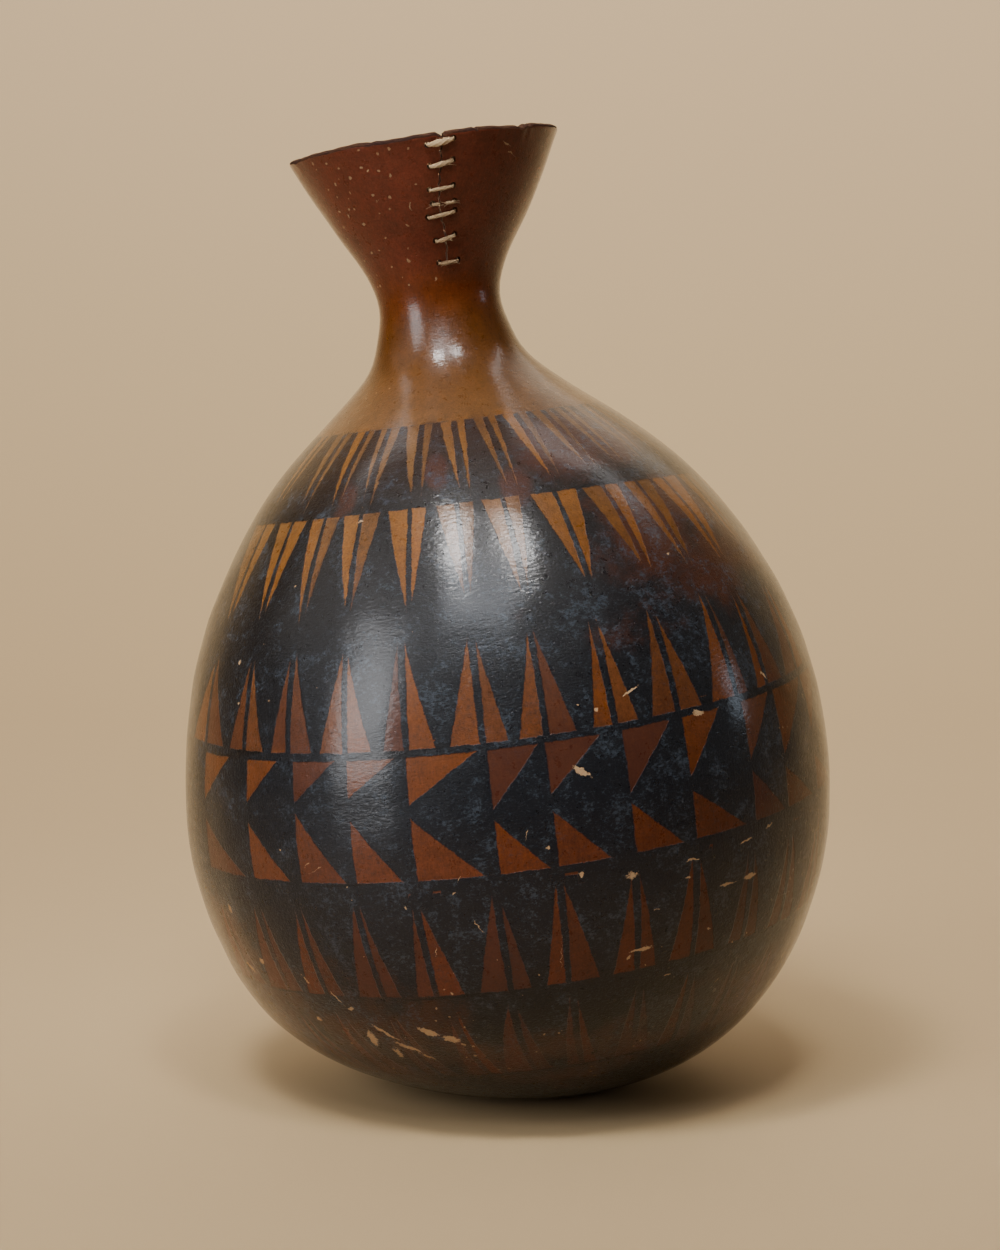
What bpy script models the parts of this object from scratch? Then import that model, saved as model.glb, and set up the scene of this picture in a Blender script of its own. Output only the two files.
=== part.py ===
"""A dried bottle gourd with a cut mouth, leaning on its flat spot, its cracked rim laced with plant fibre.

Metres, +Z up, front towards -Y. The origin is the middle of the flat spot that the gourd rests on.
"""

from math import cos, pi, radians, sin

import bmesh
import bpy
import numpy as np
from mathutils import Matrix, Vector

MM = 0.001

# The outline, in mm: height up the gourd's own axis, radius, and how far the middle strays to the right.
OUTLINE = (
    (0, 0, 8),
    (10, 48, 3),
    (30, 77, -2.5),
    (60, 94.5, -3.3),
    (90, 100.5, -3.2),
    (120, 99, -2.4),
    (150, 91.5, -2),
    (180, 76, -2),
    (200, 60, -2.6),
    (215, 43, -3),
    (230, 26, -3),
    (240, 21, -3),
    (252, 19, -2.8),
    (275, 30, -1.5),
    (299, 42, -1),
)
RIM_HEIGHT = 299.0
WALL_AT_RIM = 3.2
WALL_AT_BELLY = 4.2
WALL_THINS_FROM = 200.0
LIP_ROUNDING = 0.8

# How the gourd stands.
LEAN_LEFT = radians(8.0)
TIP_BACK = radians(1.2)
LEAN_PIVOT = 92.0
SHIFT = (-1.3, -0.9)
SINK = 3.0
SETTLE = 1.0

# Gentle lumps of the grown shell: mm, lumps round the gourd, and mm of height for a full swing.
LUMPS = ((0.6, 2, 340.0), (0.35, 3, 210.0))

COLUMNS = 60
OUTER_ROWS = 40
INNER_ROWS = 24
TURN_WEIGHT = 40.0

# The crack from the rim down: degrees round the gourd (-90 is the front), mm up its axis, mm wide.
CRACK = (
    (-81.4, 303.0, 10.0),
    (-81.4, 298.0, 0.8),
    (-82.2, 291.0, 0.7),
    (-84.0, 284.0, 0.6),
    (-84.5, 279.0, 0.55),
    (-83.8, 275.0, 0.5),
    (-81.5, 269.5, 0.45),
    (-80.4, 265.0, 0.4),
    (-80.2, 259.0, 0.3),
)

# One row for each stitch, rim first: degrees and mm up at its left hole, the same at its right hole,
# and the radius of the strand where it crosses the crack, in mm.
STITCHES = (
    (-87.6, 295.8, -76.2, 296.8, 0.8),
    (-87.6, 289.6, -76.8, 290.6, 0.7),
    (-89.0, 282.9, -76.9, 283.3, 0.5),
    (-88.0, 278.8, -76.2, 278.8, 0.5),
    (-91.4, 275.1, -75.9, 276.1, 0.55),
    (-88.0, 268.0, -75.4, 269.2, 0.6),
    (-86.6, 261.5, -71.6, 261.7, 0.6),
)
BROKEN_STITCH = 3
LEFT_STUB_END = -84.2
RIGHT_STUB_END = -81.2
HOLE_RADIUS = 0.9
STRAND_RADIUS = 0.4
STRAND_GAP = 0.35
CORNER = 1.4
TAIL_LENGTH = 6.0
KNOT_RADIUS = 1.1
KNOT_STARTS_AT = 0.4
# Radius in mm at shares of the way along a knotted tail and along a worn-through stub, from the hole.
TAIL_RADII = ((0.0, STRAND_RADIUS), (0.2, STRAND_RADIUS), (0.5, STRAND_RADIUS), (0.75, KNOT_RADIUS), (1.0, 0.6))
STUB_RADII = ((0.0, STRAND_RADIUS), (0.35, STRAND_RADIUS), (0.7, 0.5), (1.0, 0.3))
# How far the cutters reach past the two sides of the wall, and which way the tails trail inside it.
CUTTER_REACH = 4.0
UPPER_TAIL = {"turn": -0.9, "drop": 0.3}
LOWER_TAIL = {"turn": 0.5, "drop": 0.6}

SHELL_COLOUR = (0.055, 0.032, 0.022, 1.0)
FIBRE_COLOUR = (0.52, 0.38, 0.22, 1.0)


def natural_spline(places, values):
    """The smooth curve through the values, with no bend at its two ends (a natural cubic spline)."""
    x = np.array(places, float)
    y = np.array(values, float)
    step = np.diff(x)
    slope = np.diff(y) / step
    last = len(x) - 1
    matrix = np.eye(last + 1)
    right = np.zeros(last + 1)
    for i in range(1, last):
        matrix[i, i - 1 : i + 2] = step[i - 1], 2 * (step[i - 1] + step[i]), step[i]
        right[i] = 6 * (slope[i] - slope[i - 1])
    bend = np.linalg.solve(matrix, right)

    def curve(at):
        i = np.clip(np.searchsorted(x, at) - 1, 0, last - 1)
        to_next = x[i + 1] - at
        from_this = at - x[i]
        cubic = (bend[i] * to_next**3 + bend[i + 1] * from_this**3) / (6 * step[i])
        return (
            cubic
            + (y[i] / step[i] - bend[i] * step[i] / 6) * to_next
            + (y[i + 1] / step[i] - bend[i + 1] * step[i] / 6) * from_this
        )

    return curve


HEIGHTS, RADII, STRAYS = zip(*OUTLINE)
# The square of the radius is what runs smoothly, so that the bottom closes round instead of pointed.
radius_squared = natural_spline(HEIGHTS, [radius**2 for radius in RADII])
stray = natural_spline(HEIGHTS, STRAYS)


def profile(height):
    """Radius at a height, and the outward normal there as (away from the axis, up the axis)."""
    nudge = 0.01
    radius = np.sqrt(np.maximum(radius_squared(height), 0.0))
    rise = (radius_squared(height + nudge) - radius_squared(height - nudge)) / (4 * nudge)
    length = np.hypot(radius, rise)
    return radius, radius / length, -rise / length


def settled(z):
    """Heights pressed flat against the ground, with a soft turn into the flat spot."""
    blend = (z + SETTLE) ** 2 / (4 * SETTLE)
    return np.where(z < -SETTLE, 0.0, np.where(z < SETTLE, blend, z))


def stand(radius, angle, height, depth):
    """Turns places measured on the gourd's own axis into points of the standing gourd, in metres."""
    lumps = sum(
        size * np.sin(count * angle) * np.cos(2 * pi * height / swing)
        for size, count, swing in LUMPS
    )
    radius = radius * (1 + lumps / 100.0)
    x = stray(height) + radius * np.cos(angle)
    y = radius * np.sin(angle)
    z = height - LEAN_PIVOT
    x, z = x * cos(LEAN_LEFT) - z * sin(LEAN_LEFT), x * sin(LEAN_LEFT) + z * cos(LEAN_LEFT)
    y, z = y * cos(TIP_BACK) + z * sin(TIP_BACK), z * cos(TIP_BACK) - y * sin(TIP_BACK)
    z = z + LEAN_PIVOT - SINK
    z = settled(z - depth) + depth
    return np.stack([x + SHIFT[0], y + SHIFT[1], z], -1) * MM


def skin(angle, height, depth=0.0):
    """The point so many mm under the outside of the gourd; a negative depth is outside it."""
    radius, out, up = profile(height)
    return stand(radius - depth * out, angle, height - depth * up, 0.0)


def wall(height):
    """Thickness of the shell: full at the belly, thinner towards the rim."""
    share = np.clip((height - WALL_THINS_FROM) / (RIM_HEIGHT - WALL_THINS_FROM), 0.0, 1.0)
    return WALL_AT_BELLY + share * (WALL_AT_RIM - WALL_AT_BELLY)


def spaced_heights(count, top):
    """Heights from the bottom to the top, evenly spaced along the outline and closer where it turns."""
    fine = top * np.linspace(0, 1, 2000) ** 2
    radius, out, up = profile(fine)
    turn = np.abs(np.diff(np.arctan2(up, out)))
    stretch = np.hypot(np.diff(fine), np.diff(radius)) + TURN_WEIGHT * turn
    along = np.concatenate([[0], np.cumsum(stretch)])
    return np.interp(np.linspace(0, along[-1], count + 1), along, fine)


def half_section():
    """Half of the cut-through shell as (radius, height, depth), listed from the bottom up and back inside."""
    outside = [(profile(h)[0], h, 0.0) for h in spaced_heights(OUTER_ROWS, RIM_HEIGHT - LIP_ROUNDING)]
    top = profile(RIM_HEIGHT)[0]
    lip = [(top - inset, RIM_HEIGHT, 0.0) for inset in (LIP_ROUNDING, WALL_AT_RIM - LIP_ROUNDING)]
    inside = []
    for h in spaced_heights(INNER_ROWS, RIM_HEIGHT - LIP_ROUNDING)[::-1]:
        radius, out, up = profile(h)
        depth = wall(h)
        inside.append((max(radius - depth * out, 0.0), min(h - depth * up, RIM_HEIGHT), depth))
    return outside + lip + inside


def material(name, colour, roughness):
    """A plain finish."""
    made = bpy.data.materials.new(name)
    made.use_nodes = True
    shader = made.node_tree.nodes["Principled BSDF"]
    shader.inputs["Base Color"].default_value = colour
    shader.inputs["Roughness"].default_value = roughness
    shader.inputs["Metallic"].default_value = 0.0
    return made


def add_object(name, data, finish=None):
    """Links a new object to the scene."""
    made = bpy.data.objects.new(name, data)
    bpy.context.scene.collection.objects.link(made)
    if finish is not None:
        data.materials.append(finish)
    return made


def turned_shell():
    """The half section spun round the axis, then leant, tipped and settled on its flat spot."""
    shell = bmesh.new()
    depth_of = shell.verts.layers.float.new("depth")
    chain = []
    for radius, height, depth in half_section():
        vertex = shell.verts.new((radius, 0.0, height))
        vertex[depth_of] = depth
        chain.append(vertex)
    edges = [shell.edges.new(pair) for pair in zip(chain, chain[1:])]
    bmesh.ops.spin(
        shell,
        geom=chain + edges,
        cent=(0, 0, 0),
        axis=(0, 0, 1),
        angle=2 * pi,
        steps=COLUMNS,
        use_merge=True,
    )
    bmesh.ops.remove_doubles(shell, verts=shell.verts, dist=0.001)
    for vertex in shell.verts:
        x, y, height = vertex.co
        vertex.co = stand(np.hypot(x, y), np.arctan2(y, x), height, vertex[depth_of])
    bmesh.ops.recalc_face_normals(shell, faces=shell.faces)
    mesh = bpy.data.meshes.new("gourd_shell")
    shell.to_mesh(mesh)
    shell.free()
    mesh.shade_smooth()
    mesh.set_sharp_from_angle(angle=radians(40))
    return mesh


def crack_cutter():
    """A blade as long as the crack, as wide as it gapes, and deeper than the wall."""
    before, behind = -CUTTER_REACH, WALL_AT_BELLY + CUTTER_REACH
    blade = bmesh.new()
    rings = []
    for degrees, height, gape in CRACK:
        half = gape / 2 / profile(height)[0]
        corners = ((-half, before), (half, before), (half, behind), (-half, behind))
        rings.append(
            [blade.verts.new(skin(radians(degrees) + turn, height, depth)) for turn, depth in corners]
        )
    for upper, lower in zip(rings, rings[1:]):
        for i in range(4):
            j = (i + 1) % 4
            blade.faces.new((upper[i], upper[j], lower[j], lower[i]))
    blade.faces.new(rings[0])
    blade.faces.new(rings[-1])
    bmesh.ops.recalc_face_normals(blade, faces=blade.faces)
    mesh = bpy.data.meshes.new("crack_cutter")
    blade.to_mesh(mesh)
    blade.free()
    return mesh


def hole_cutter():
    """A round bar square to the wall through every lacing hole."""
    bars = bmesh.new()
    for left, left_height, right, right_height, _ in STITCHES:
        for degrees, height in ((left, left_height), (right, right_height)):
            outer = Vector(skin(radians(degrees), height, -CUTTER_REACH / 2))
            inner = Vector(skin(radians(degrees), height, WALL_AT_BELLY + CUTTER_REACH / 2))
            turn = (inner - outer).to_track_quat("Z", "Y").to_matrix().to_4x4()
            bmesh.ops.create_cone(
                bars,
                cap_ends=True,
                segments=10,
                radius1=HOLE_RADIUS * MM,
                radius2=HOLE_RADIUS * MM,
                depth=(inner - outer).length,
                matrix=Matrix.Translation((outer + inner) / 2) @ turn,
            )
    mesh = bpy.data.meshes.new("hole_cutter")
    bars.to_mesh(mesh)
    bars.free()
    return mesh


def cut(body, cutter_mesh):
    """Takes the cutter away from the body and leaves it as a hidden guide."""
    cutter = add_object(cutter_mesh.name, cutter_mesh)
    cutter.hide_render = True
    cutter.display_type = "WIRE"
    difference = body.modifiers.new(cutter_mesh.name, "BOOLEAN")
    difference.operation = "DIFFERENCE"
    difference.solver = "EXACT"
    difference.object = cutter


def rounded(path, times=1):
    """The path with its corners cut: each pass puts two points a quarter of the way into every stretch."""
    for _ in range(times):
        ahead, behind = path[1:], path[:-1]
        quarters = np.stack([0.75 * behind + 0.25 * ahead, 0.25 * behind + 0.75 * ahead], 1)
        path = np.concatenate([path[:1], quarters.reshape(-1, path.shape[1]), path[-1:]])
    return path


def across(start, end, thickness, depth_sign):
    """A run over the wall from hole to hole, outside (-1) or inside (1), as (angle, height, depth, radius).

    Both ends turn the corner into their hole.
    """
    start, end = np.array(start, float), np.array(end, float)
    around = profile((start[1] + end[1]) / 2)[0]
    length = np.hypot((end[0] - start[0]) * around, end[1] - start[1])
    shares = np.array([0, CORNER / length, 0.3, 0.5, 0.7, 1 - CORNER / length, 1])
    radii = STRAND_RADIUS + (thickness - STRAND_RADIUS) * np.array([0, 0.2, 1, 1, 1, 0.2, 0])
    base = wall(start[1]) if depth_sign > 0 else 0.0
    depths = base + depth_sign * (STRAND_GAP + radii)
    places = start + shares[:, None] * (end - start)
    return np.column_stack([places, depths, radii])


def through(hole, inwards):
    """The straight run inside a hole."""
    middle = wall(hole[1]) / 2
    depths = (middle - 1.0, middle + 1.0) if inwards else (middle + 1.0, middle - 1.0)
    return np.array([(hole[0], hole[1], depth, STRAND_RADIUS) for depth in depths])


def tail(hole, turn, drop):
    """A loose end inside the wall, with a small knot in it. It is listed from the hole outwards."""
    around = profile(hole[1])[0]
    rows = []
    for share, radius in TAIL_RADII:
        run = TAIL_LENGTH * share
        depth = wall(hole[1]) + STRAND_GAP + max(radius, KNOT_RADIUS * (share > KNOT_STARTS_AT))
        rows.append((hole[0] + turn * run / around, hole[1] - drop * run, depth, radius))
    return np.array(rows)


def stub(hole, end_degrees):
    """A worn-through end outside the wall, listed from the hole outwards."""
    end = radians(end_degrees)
    rows = []
    for share, radius in STUB_RADII:
        rows.append((hole[0] + share * (end - hole[0]), hole[1], -STRAND_GAP - radius, radius))
    return np.array(rows)


def laced(stitches):
    """Runs of one strand that crosses outside, left to right, and comes back inside to the next stitch."""
    runs = []
    for index, (left, left_height, right, right_height, thickness) in enumerate(stitches):
        start = (radians(left), left_height)
        end = (radians(right), right_height)
        runs += [through(start, inwards=False), across(start, end, thickness, -1), through(end, inwards=True)]
        if index + 1 < len(stitches):
            following = stitches[index + 1]
            runs.append(across(end, (radians(following[0]), following[1]), STRAND_RADIUS, 1))
    return runs


def lacing(name, runs, finish):
    """A fibre strand along its runs, as a tube whose thickness follows them."""
    path = rounded(np.concatenate(runs))
    points = skin(path[:, 0], path[:, 1], path[:, 2])
    data = bpy.data.curves.new(name, "CURVE")
    data.dimensions = "3D"
    data.bevel_depth = MM
    data.bevel_resolution = 1
    data.use_fill_caps = True
    spline = data.splines.new("POLY")
    spline.points.add(len(points) - 1)
    for place, point, radius in zip(spline.points, points, path[:, 3]):
        place.co = (*point, 1.0)
        place.radius = radius
    return add_object(name, data, finish)


def upper_lacing(finish):
    """From a knotted tail inside the rim to the left stub of the broken stitch."""
    whole = STITCHES[:BROKEN_STITCH]
    first = (radians(whole[0][0]), whole[0][1])
    last = (radians(whole[-1][2]), whole[-1][3])
    broken = (radians(STITCHES[BROKEN_STITCH][0]), STITCHES[BROKEN_STITCH][1])
    runs = [tail(first, **UPPER_TAIL)[::-1]]
    runs += laced(whole)
    runs += [across(last, broken, STRAND_RADIUS, 1), through(broken, inwards=False), stub(broken, LEFT_STUB_END)]
    return lacing("lacing_upper", runs, finish)


def lower_lacing(finish):
    """From the right stub of the broken stitch to a knotted tail inside the neck."""
    whole = STITCHES[BROKEN_STITCH + 1 :]
    broken = (radians(STITCHES[BROKEN_STITCH][2]), STITCHES[BROKEN_STITCH][3])
    first = (radians(whole[0][0]), whole[0][1])
    last = (radians(whole[-1][2]), whole[-1][3])
    runs = [stub(broken, RIGHT_STUB_END)[::-1], through(broken, inwards=True)]
    runs.append(across(broken, first, STRAND_RADIUS, 1))
    runs += laced(whole)
    runs.append(tail(last, **LOWER_TAIL))
    return lacing("lacing_lower", runs, finish)


def main():
    for old in list(bpy.data.objects):
        bpy.data.objects.remove(old, do_unlink=True)
    shell = add_object("gourd_shell", turned_shell(), material("gourd_skin", SHELL_COLOUR, 0.35))
    cut(shell, crack_cutter())
    cut(shell, hole_cutter())
    fibre = material("plant_fibre", FIBRE_COLOUR, 0.8)
    upper_lacing(fibre)
    lower_lacing(fibre)


main()
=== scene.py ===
"""The looks of a dried bottle gourd with dark triangle bands and a mended rim.

Everything is in metres in the frame of the solids, +Z up, front towards -Y. Measures named here are in mm.
"""

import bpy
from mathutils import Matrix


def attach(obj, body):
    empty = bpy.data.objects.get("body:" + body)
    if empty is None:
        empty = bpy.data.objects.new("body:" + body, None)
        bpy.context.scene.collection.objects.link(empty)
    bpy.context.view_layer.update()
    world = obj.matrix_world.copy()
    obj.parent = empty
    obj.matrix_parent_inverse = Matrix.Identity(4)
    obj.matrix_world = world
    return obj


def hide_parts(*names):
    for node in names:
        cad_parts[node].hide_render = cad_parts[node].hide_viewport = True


bl_info = {
    "name": "Dried Bottle Gourd",
    "version": (1, 0, 0),
    "blender": (4, 5, 0),
    "location": "View3D > Sidebar > Gourd",
    "description": "Builds the skin, the lacing and the stage of a decorated dried bottle gourd",
    "category": "Object",
}

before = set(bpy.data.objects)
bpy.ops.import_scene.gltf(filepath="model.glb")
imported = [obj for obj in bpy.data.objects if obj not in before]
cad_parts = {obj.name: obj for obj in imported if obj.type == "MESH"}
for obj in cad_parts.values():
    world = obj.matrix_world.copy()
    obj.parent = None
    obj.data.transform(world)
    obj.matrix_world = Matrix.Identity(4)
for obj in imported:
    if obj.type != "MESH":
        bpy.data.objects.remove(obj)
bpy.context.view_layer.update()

from math import cos, pi, radians, sin

import bmesh
import bpy
import numpy as np
from mathutils import Matrix, Vector

MM = 0.001

# The solids' outline: height up the gourd's own axis, radius, stray of the middle to the right.
OUTLINE = (
    (0, 0, 8),
    (10, 48, 3),
    (30, 77, -2.5),
    (60, 94.5, -3.3),
    (90, 100.5, -3.2),
    (120, 99, -2.4),
    (150, 91.5, -2),
    (180, 76, -2),
    (200, 60, -2.6),
    (215, 43, -3),
    (230, 26, -3),
    (240, 21, -3),
    (252, 19, -2.8),
    (275, 30, -1.5),
    (299, 42, -1),
)
# The wall and its lip, the lean, and how the gourd is sunk and pressed onto its flat spot.
RIM_HEIGHT = 299.0
WALL_AT_RIM = 3.2
WALL_AT_BELLY = 4.2
WALL_THINS_FROM = 200.0
LIP_ROUNDING = 0.8
LEAN_LEFT = radians(8.0)
TIP_BACK = radians(1.2)
LEAN_PIVOT = 92.0
SHIFT = (-1.3, -0.9)
SINK = 3.0
SETTLE = 1.0
# Grown lumps: hundredths of the radius, how many round the gourd, and their wave up the gourd in mm.
LUMPS = ((0.6, 2, 340.0), (0.35, 3, 210.0))

# The crack from the rim down: degrees round the gourd (-90 is the front), height, width.
CRACK = (
    (-81.4, 299.0, 0.6),
    (-82.2, 291.0, 0.44),
    (-84.0, 284.0, 0.4),
    (-84.5, 279.0, 0.36),
    (-83.8, 275.0, 0.34),
    (-81.5, 269.5, 0.3),
    (-80.4, 265.0, 0.26),
    (-80.2, 259.0, 0.0),
)
CRACK_FOOT = 259.0
# Chips out of the cut rim, the first one at the crack: degrees, half width in degrees, depth.
RIM_CHIPS = (
    (-81.4, 2.2, 1.0),
    (-42.0, 3.4, 0.8),
    (-37.0, 1.6, 0.55),
    (-112.0, 2.0, 0.35),
    (-66.0, 1.2, 0.4),
    (35.0, 3.0, 0.6),
    (120.0, 2.2, 0.5),
    (-160.0, 2.4, 0.4),
)
# The rim's dips fade out this far down.
RIM_DIPS_DEPTH = 9.0

# One row for each stitch: degrees and height of its left hole and of its right hole, strand radius,
# how wide the strand lies for its radius, and how bleached it is from 0 to 1.
STITCHES = (
    (-87.6, 295.8, -76.2, 296.8, 0.8, 1.2, 1.0),
    (-87.6, 289.6, -76.8, 290.6, 0.7, 1.1, 0.9),
    (-89.0, 282.9, -76.9, 283.3, 0.5, 1.0, 0.85),
    (-88.0, 278.8, -76.2, 278.8, 0.5, 1.05, 0.8),
    (-91.4, 275.1, -75.9, 276.1, 0.55, 1.05, 0.8),
    (-88.0, 268.0, -75.4, 269.2, 0.6, 1.0, 0.75),
    (-86.6, 261.5, -71.6, 261.7, 0.6, 1.1, 0.5),
)
BROKEN_STITCH = 3
LEFT_STUB_END = -84.2
RIGHT_STUB_END = -81.2
# The holes, the strand inside the wall, and the knotted tails, which turn and drop from their holes.
HOLE_RADIUS = 0.9
STRAND_RADIUS = 0.4
STRAND_GAP = 0.35
CORNER = 1.4
TAIL_LENGTH = 6.0
KNOT_RADIUS = 1.1
KNOT_STARTS_AT = 0.4
# Along a knotted tail and along a worn stub: the share of its length, and the strand's radius there.
TAIL_RADII = (
    (0.0, STRAND_RADIUS), (0.2, STRAND_RADIUS), (0.5, STRAND_RADIUS), (0.75, KNOT_RADIUS), (1.0, 0.6),
)
STUB_RADII = ((0.0, STRAND_RADIUS), (0.35, STRAND_RADIUS), (0.7, 0.5), (1.0, 0.3))
UPPER_TAIL = {"turn": -0.9, "drop": 0.3}
LOWER_TAIL = {"turn": 0.5, "drop": 0.6}

# The bands of scraped triangles. Each pair is the middle of the dark slit between two triangles, and how
# wide the left and the right triangle are at their base, all in degrees round the gourd.
PAIRS_TOP = (
    (-154.3, 4, 3), (-138.9, 4.5, 3.2), (-126.4, 4.1, 2.6), (-116.1, 2.3, 3.8), (-102.3, 4.8, 3),
    (-89.9, 4, 2.8), (-77.9, 3.4, 2.5), (-65.9, 4.2, 3.2), (-54, 4, 2.5), (-44, 3.3, 2.5),
    (-32.8, 3.5, 3), (-21.5, 3.6, 2.8),
)
PAIRS_SHOULDER = (
    (-154.3, 8, 5), (-140.5, 5, 5), (-128.2, 4, 4), (-117, 4.5, 4.7), (-104, 5, 3.6),
    (-92.3, 4.5, 3.5), (-81.2, 4.5, 3.5), (-68.3, 5.5, 5.2), (-55, 5.3, 4), (-44.2, 3.7, 4.4),
    (-33.1, 4.2, 5.7), (-20.5, 4, 4),
)
PAIRS_BELLY = (
    (-154.5, 7, 6.7), (-140, 4.2, 4.5), (-128.7, 3.5, 4.7), (-116.7, 4.5, 4.4), (-105.5, 3.5, 4.5),
    (-92.5, 5, 3.7), (-81.9, 4, 4.5), (-70.1, 3.3, 3.6), (-58.2, 4.5, 4.5), (-45, 5.2, 2.5),
    (-35.8, 2.5, 5), (-22.3, 5.5, 4),
)
PAIRS_LOW = (
    (-153, 5, 4.6), (-140.3, 5.2, 3.5), (-130, 4, 3.5), (-117.5, 4.5, 3), (-107, 3, 4.7),
    (-93.3, 5, 3.2), (-82.8, 3.3, 5.2), (-69.8, 4, 3.2), (-58.2, 4.5, 4.5), (-45.7, 3.3, 3.2),
    (-34, 3.5, 4), (-22, 4, 4),
)
PAIRS_FOOT = (
    (-153, 4, 4), (-141, 4, 3.5), (-129.5, 3.5, 4), (-117.5, 3, 4), (-105, 3.5, 2.5), (-93.7, 6, 3.5),
    (-82, 3, 3), (-69, 4, 3.5), (-57.5, 4, 4), (-45.5, 3.5, 3.5), (-34, 3.5, 4), (-22, 4, 4),
)
# The middle band: left edge, right end of the upper triangle, right end of the lower one (degrees), and
# the heights of the upper triangle's lower tip and of the lower triangle's upper tip.
CELLS = (
    (-154.3, -145, -141.5, 112, 106), (-139, -131.5, -130.3, 112, 106),
    (-127.5, -119, -118.5, 111.5, 108.5), (-116.5, -108, -108.3, 112, 105.5),
    (-105.7, -94, -94.5, 108.5, 104.5), (-92, -83.5, -84, 104.5, 101.5),
    (-82.4, -73, -73.5, 106.5, 101.5), (-69.2, -60.3, -60.5, 103, 100), (-57.8, -50, -47, 104, 100),
    (-44.4, -36.5, -36, 104.5, 101.5), (-34.8, -23, -25, 103, 99.5), (-22, -13, -12, 107, 99.5),
)
# For each band of pairs: height of its base, how far the base swings round the gourd, where it is highest
# (degrees), height of its tips, width of the slit in degrees, and which of the two field layers it is in.
BANDS = {
    "top": (PAIRS_TOP, 213.5, 0.8, -150.0, 194.5, 2.2, 0),
    "shoulder": (PAIRS_SHOULDER, 188.5, 2.2, -125.0, 164.0, 1.1, 1),
    "belly": (PAIRS_BELLY, 130.0, -7.0, -75.0, 153.5, 1.1, 0),
    "low": (PAIRS_LOW, 56.8, -6.0, -78.0, 80.5, 1.1, 1),
    "foot": (PAIRS_FOOT, 26.0, -4.0, -85.0, 46.0, 1.3, 0),
}
# Painted lines run this far above or below the edges of the named bands, and below both edges of the
# middle band.
LINE_BESIDE = 0.6
LINED_ABOVE = ("shoulder", "belly")
LINED_BELOW = ("low", "foot")
CELL_TOP = (127.0, -6.0, -75.0)
CELL_BOTTOM = (92.7, -7.0, -75.0)
# The unseen back goes on from here to there in even steps, in degrees, each triangle about this wide and a
# little astray, as are the tips.
BACK_FROM, BACK_TO, BACK_STEP = -9.5, 195.0, 12.03
BACK_STRAY = 0.35
BACK_WIDTHS = (3.6, 5.0)
CELL_WIDTHS = (8.0, 9.6)
CELL_TIP_STRAY = 1.2
TIP_STRAY = 0.8
# How high the tips of the middle band's upper and lower triangles are at the back, as shares of the band.
BACK_TIPS = np.array([0.53, 0.42])
TRIANGLE_SEED = 11

# Colours of the scraped rind and of the blackened field by height up the axis, as red, green, blue of 255.
# Both are darkest at the bottom, the rind much darker in its lowest 20 mm.
RIND_COLOURS = (
    (0, (18, 10, 8)),
    (20, (58, 27, 17)),
    (45, (74, 33, 19)),
    (66, (70, 33, 20)),
    (88, (74, 37, 21)),
    (118, (77, 43, 24)),
    (140, (82, 48, 25)),
    (178, (94, 60, 24)),
    (205, (90, 62, 34)),
    (217, (84, 56, 31)),
    (230, (74, 44, 15)),
    (243, (68, 35, 6)),
    (254, (78, 34, 9)),
    (264, (88, 38, 23)),
    (299, (82, 36, 23)),
)
# Painted shade: what the rind's red, green and blue lose towards the right side, so that it is darker and
# more saturated there.
RIGHT_SIDE_PAINTED_SHADE = (0.3, 0.38, 0.6)
FIELD_COLOURS = (
    (0, (11, 8, 7)),
    (30, (11, 9, 9)),
    (60, (17, 17, 22)),
    (110, (14, 16, 20)),
    (150, (15, 15, 17)),
    (190, (20, 16, 14)),
    (212, (36, 22, 14)),
)
# The other colours, as red, green, blue of 255.
COLOURS = {
    "warm tint": (255, 238, 190),
    "dull rind": (56, 30, 24),
    "rubbed brown": (48, 22, 10),
    "grey dust": (50, 57, 65),
    # Fine pale speckle on the field, partly dust and partly painted glints.
    "fine dust and painted glints": (48, 52, 58),
    "painted line": (9, 8, 9),
    # Dark specks, mixed in on the right of the funnel as painted shade.
    "dark specks and painted shade": (30, 12, 8),
    "pale mark": (148, 128, 98),
    "brown mark": (150, 112, 76),
    "crack edge": (160, 146, 132),
    "cut rind dark": (74, 42, 25),
    "cut rind light": (124, 84, 52),
    "cut rind stain": (52, 26, 16),
    "handled lip": (34, 15, 9),
    "inner fibre dark": (74, 44, 27),
    "inner fibre light": (140, 98, 62),
    "inner stain": (74, 46, 30),
    "strand brown": (92, 62, 38),
}
# The clear polish over the skin: how much of it, its refraction and its roughness.
COAT = {"Coat Weight": 0.85, "Coat IOR": 1.29, "Coat Roughness": 0.13}
SKIN_SPECULAR = 0.12

# Where the black has rubbed off to brown: degrees, height, half width in degrees, half height, share.
RUBBED = (
    (-165.0, 50.0, 32.0, 34.0, 0.9),
    (-15.0, 28.0, 42.0, 26.0, 0.75),
    (-40.0, 172.0, 32.0, 26.0, 0.75),
    (-97.0, 200.0, 4.0, 6.0, 0.9),
    (-123.0, 195.0, 4.0, 6.0, 0.8),
    (-77.0, 193.0, 5.0, 8.0, 0.8),
    (-60.0, 150.0, 20.0, 12.0, 0.4),
    (-50.0, 202.0, 28.0, 12.0, 0.85),
    (-125.0, 44.0, 26.0, 24.0, 0.6),
    (-100.0, 24.0, 60.0, 14.0, 0.6),
    (120.0, 60.0, 40.0, 30.0, 0.5),
    (60.0, 175.0, 35.0, 22.0, 0.5),
)
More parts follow.
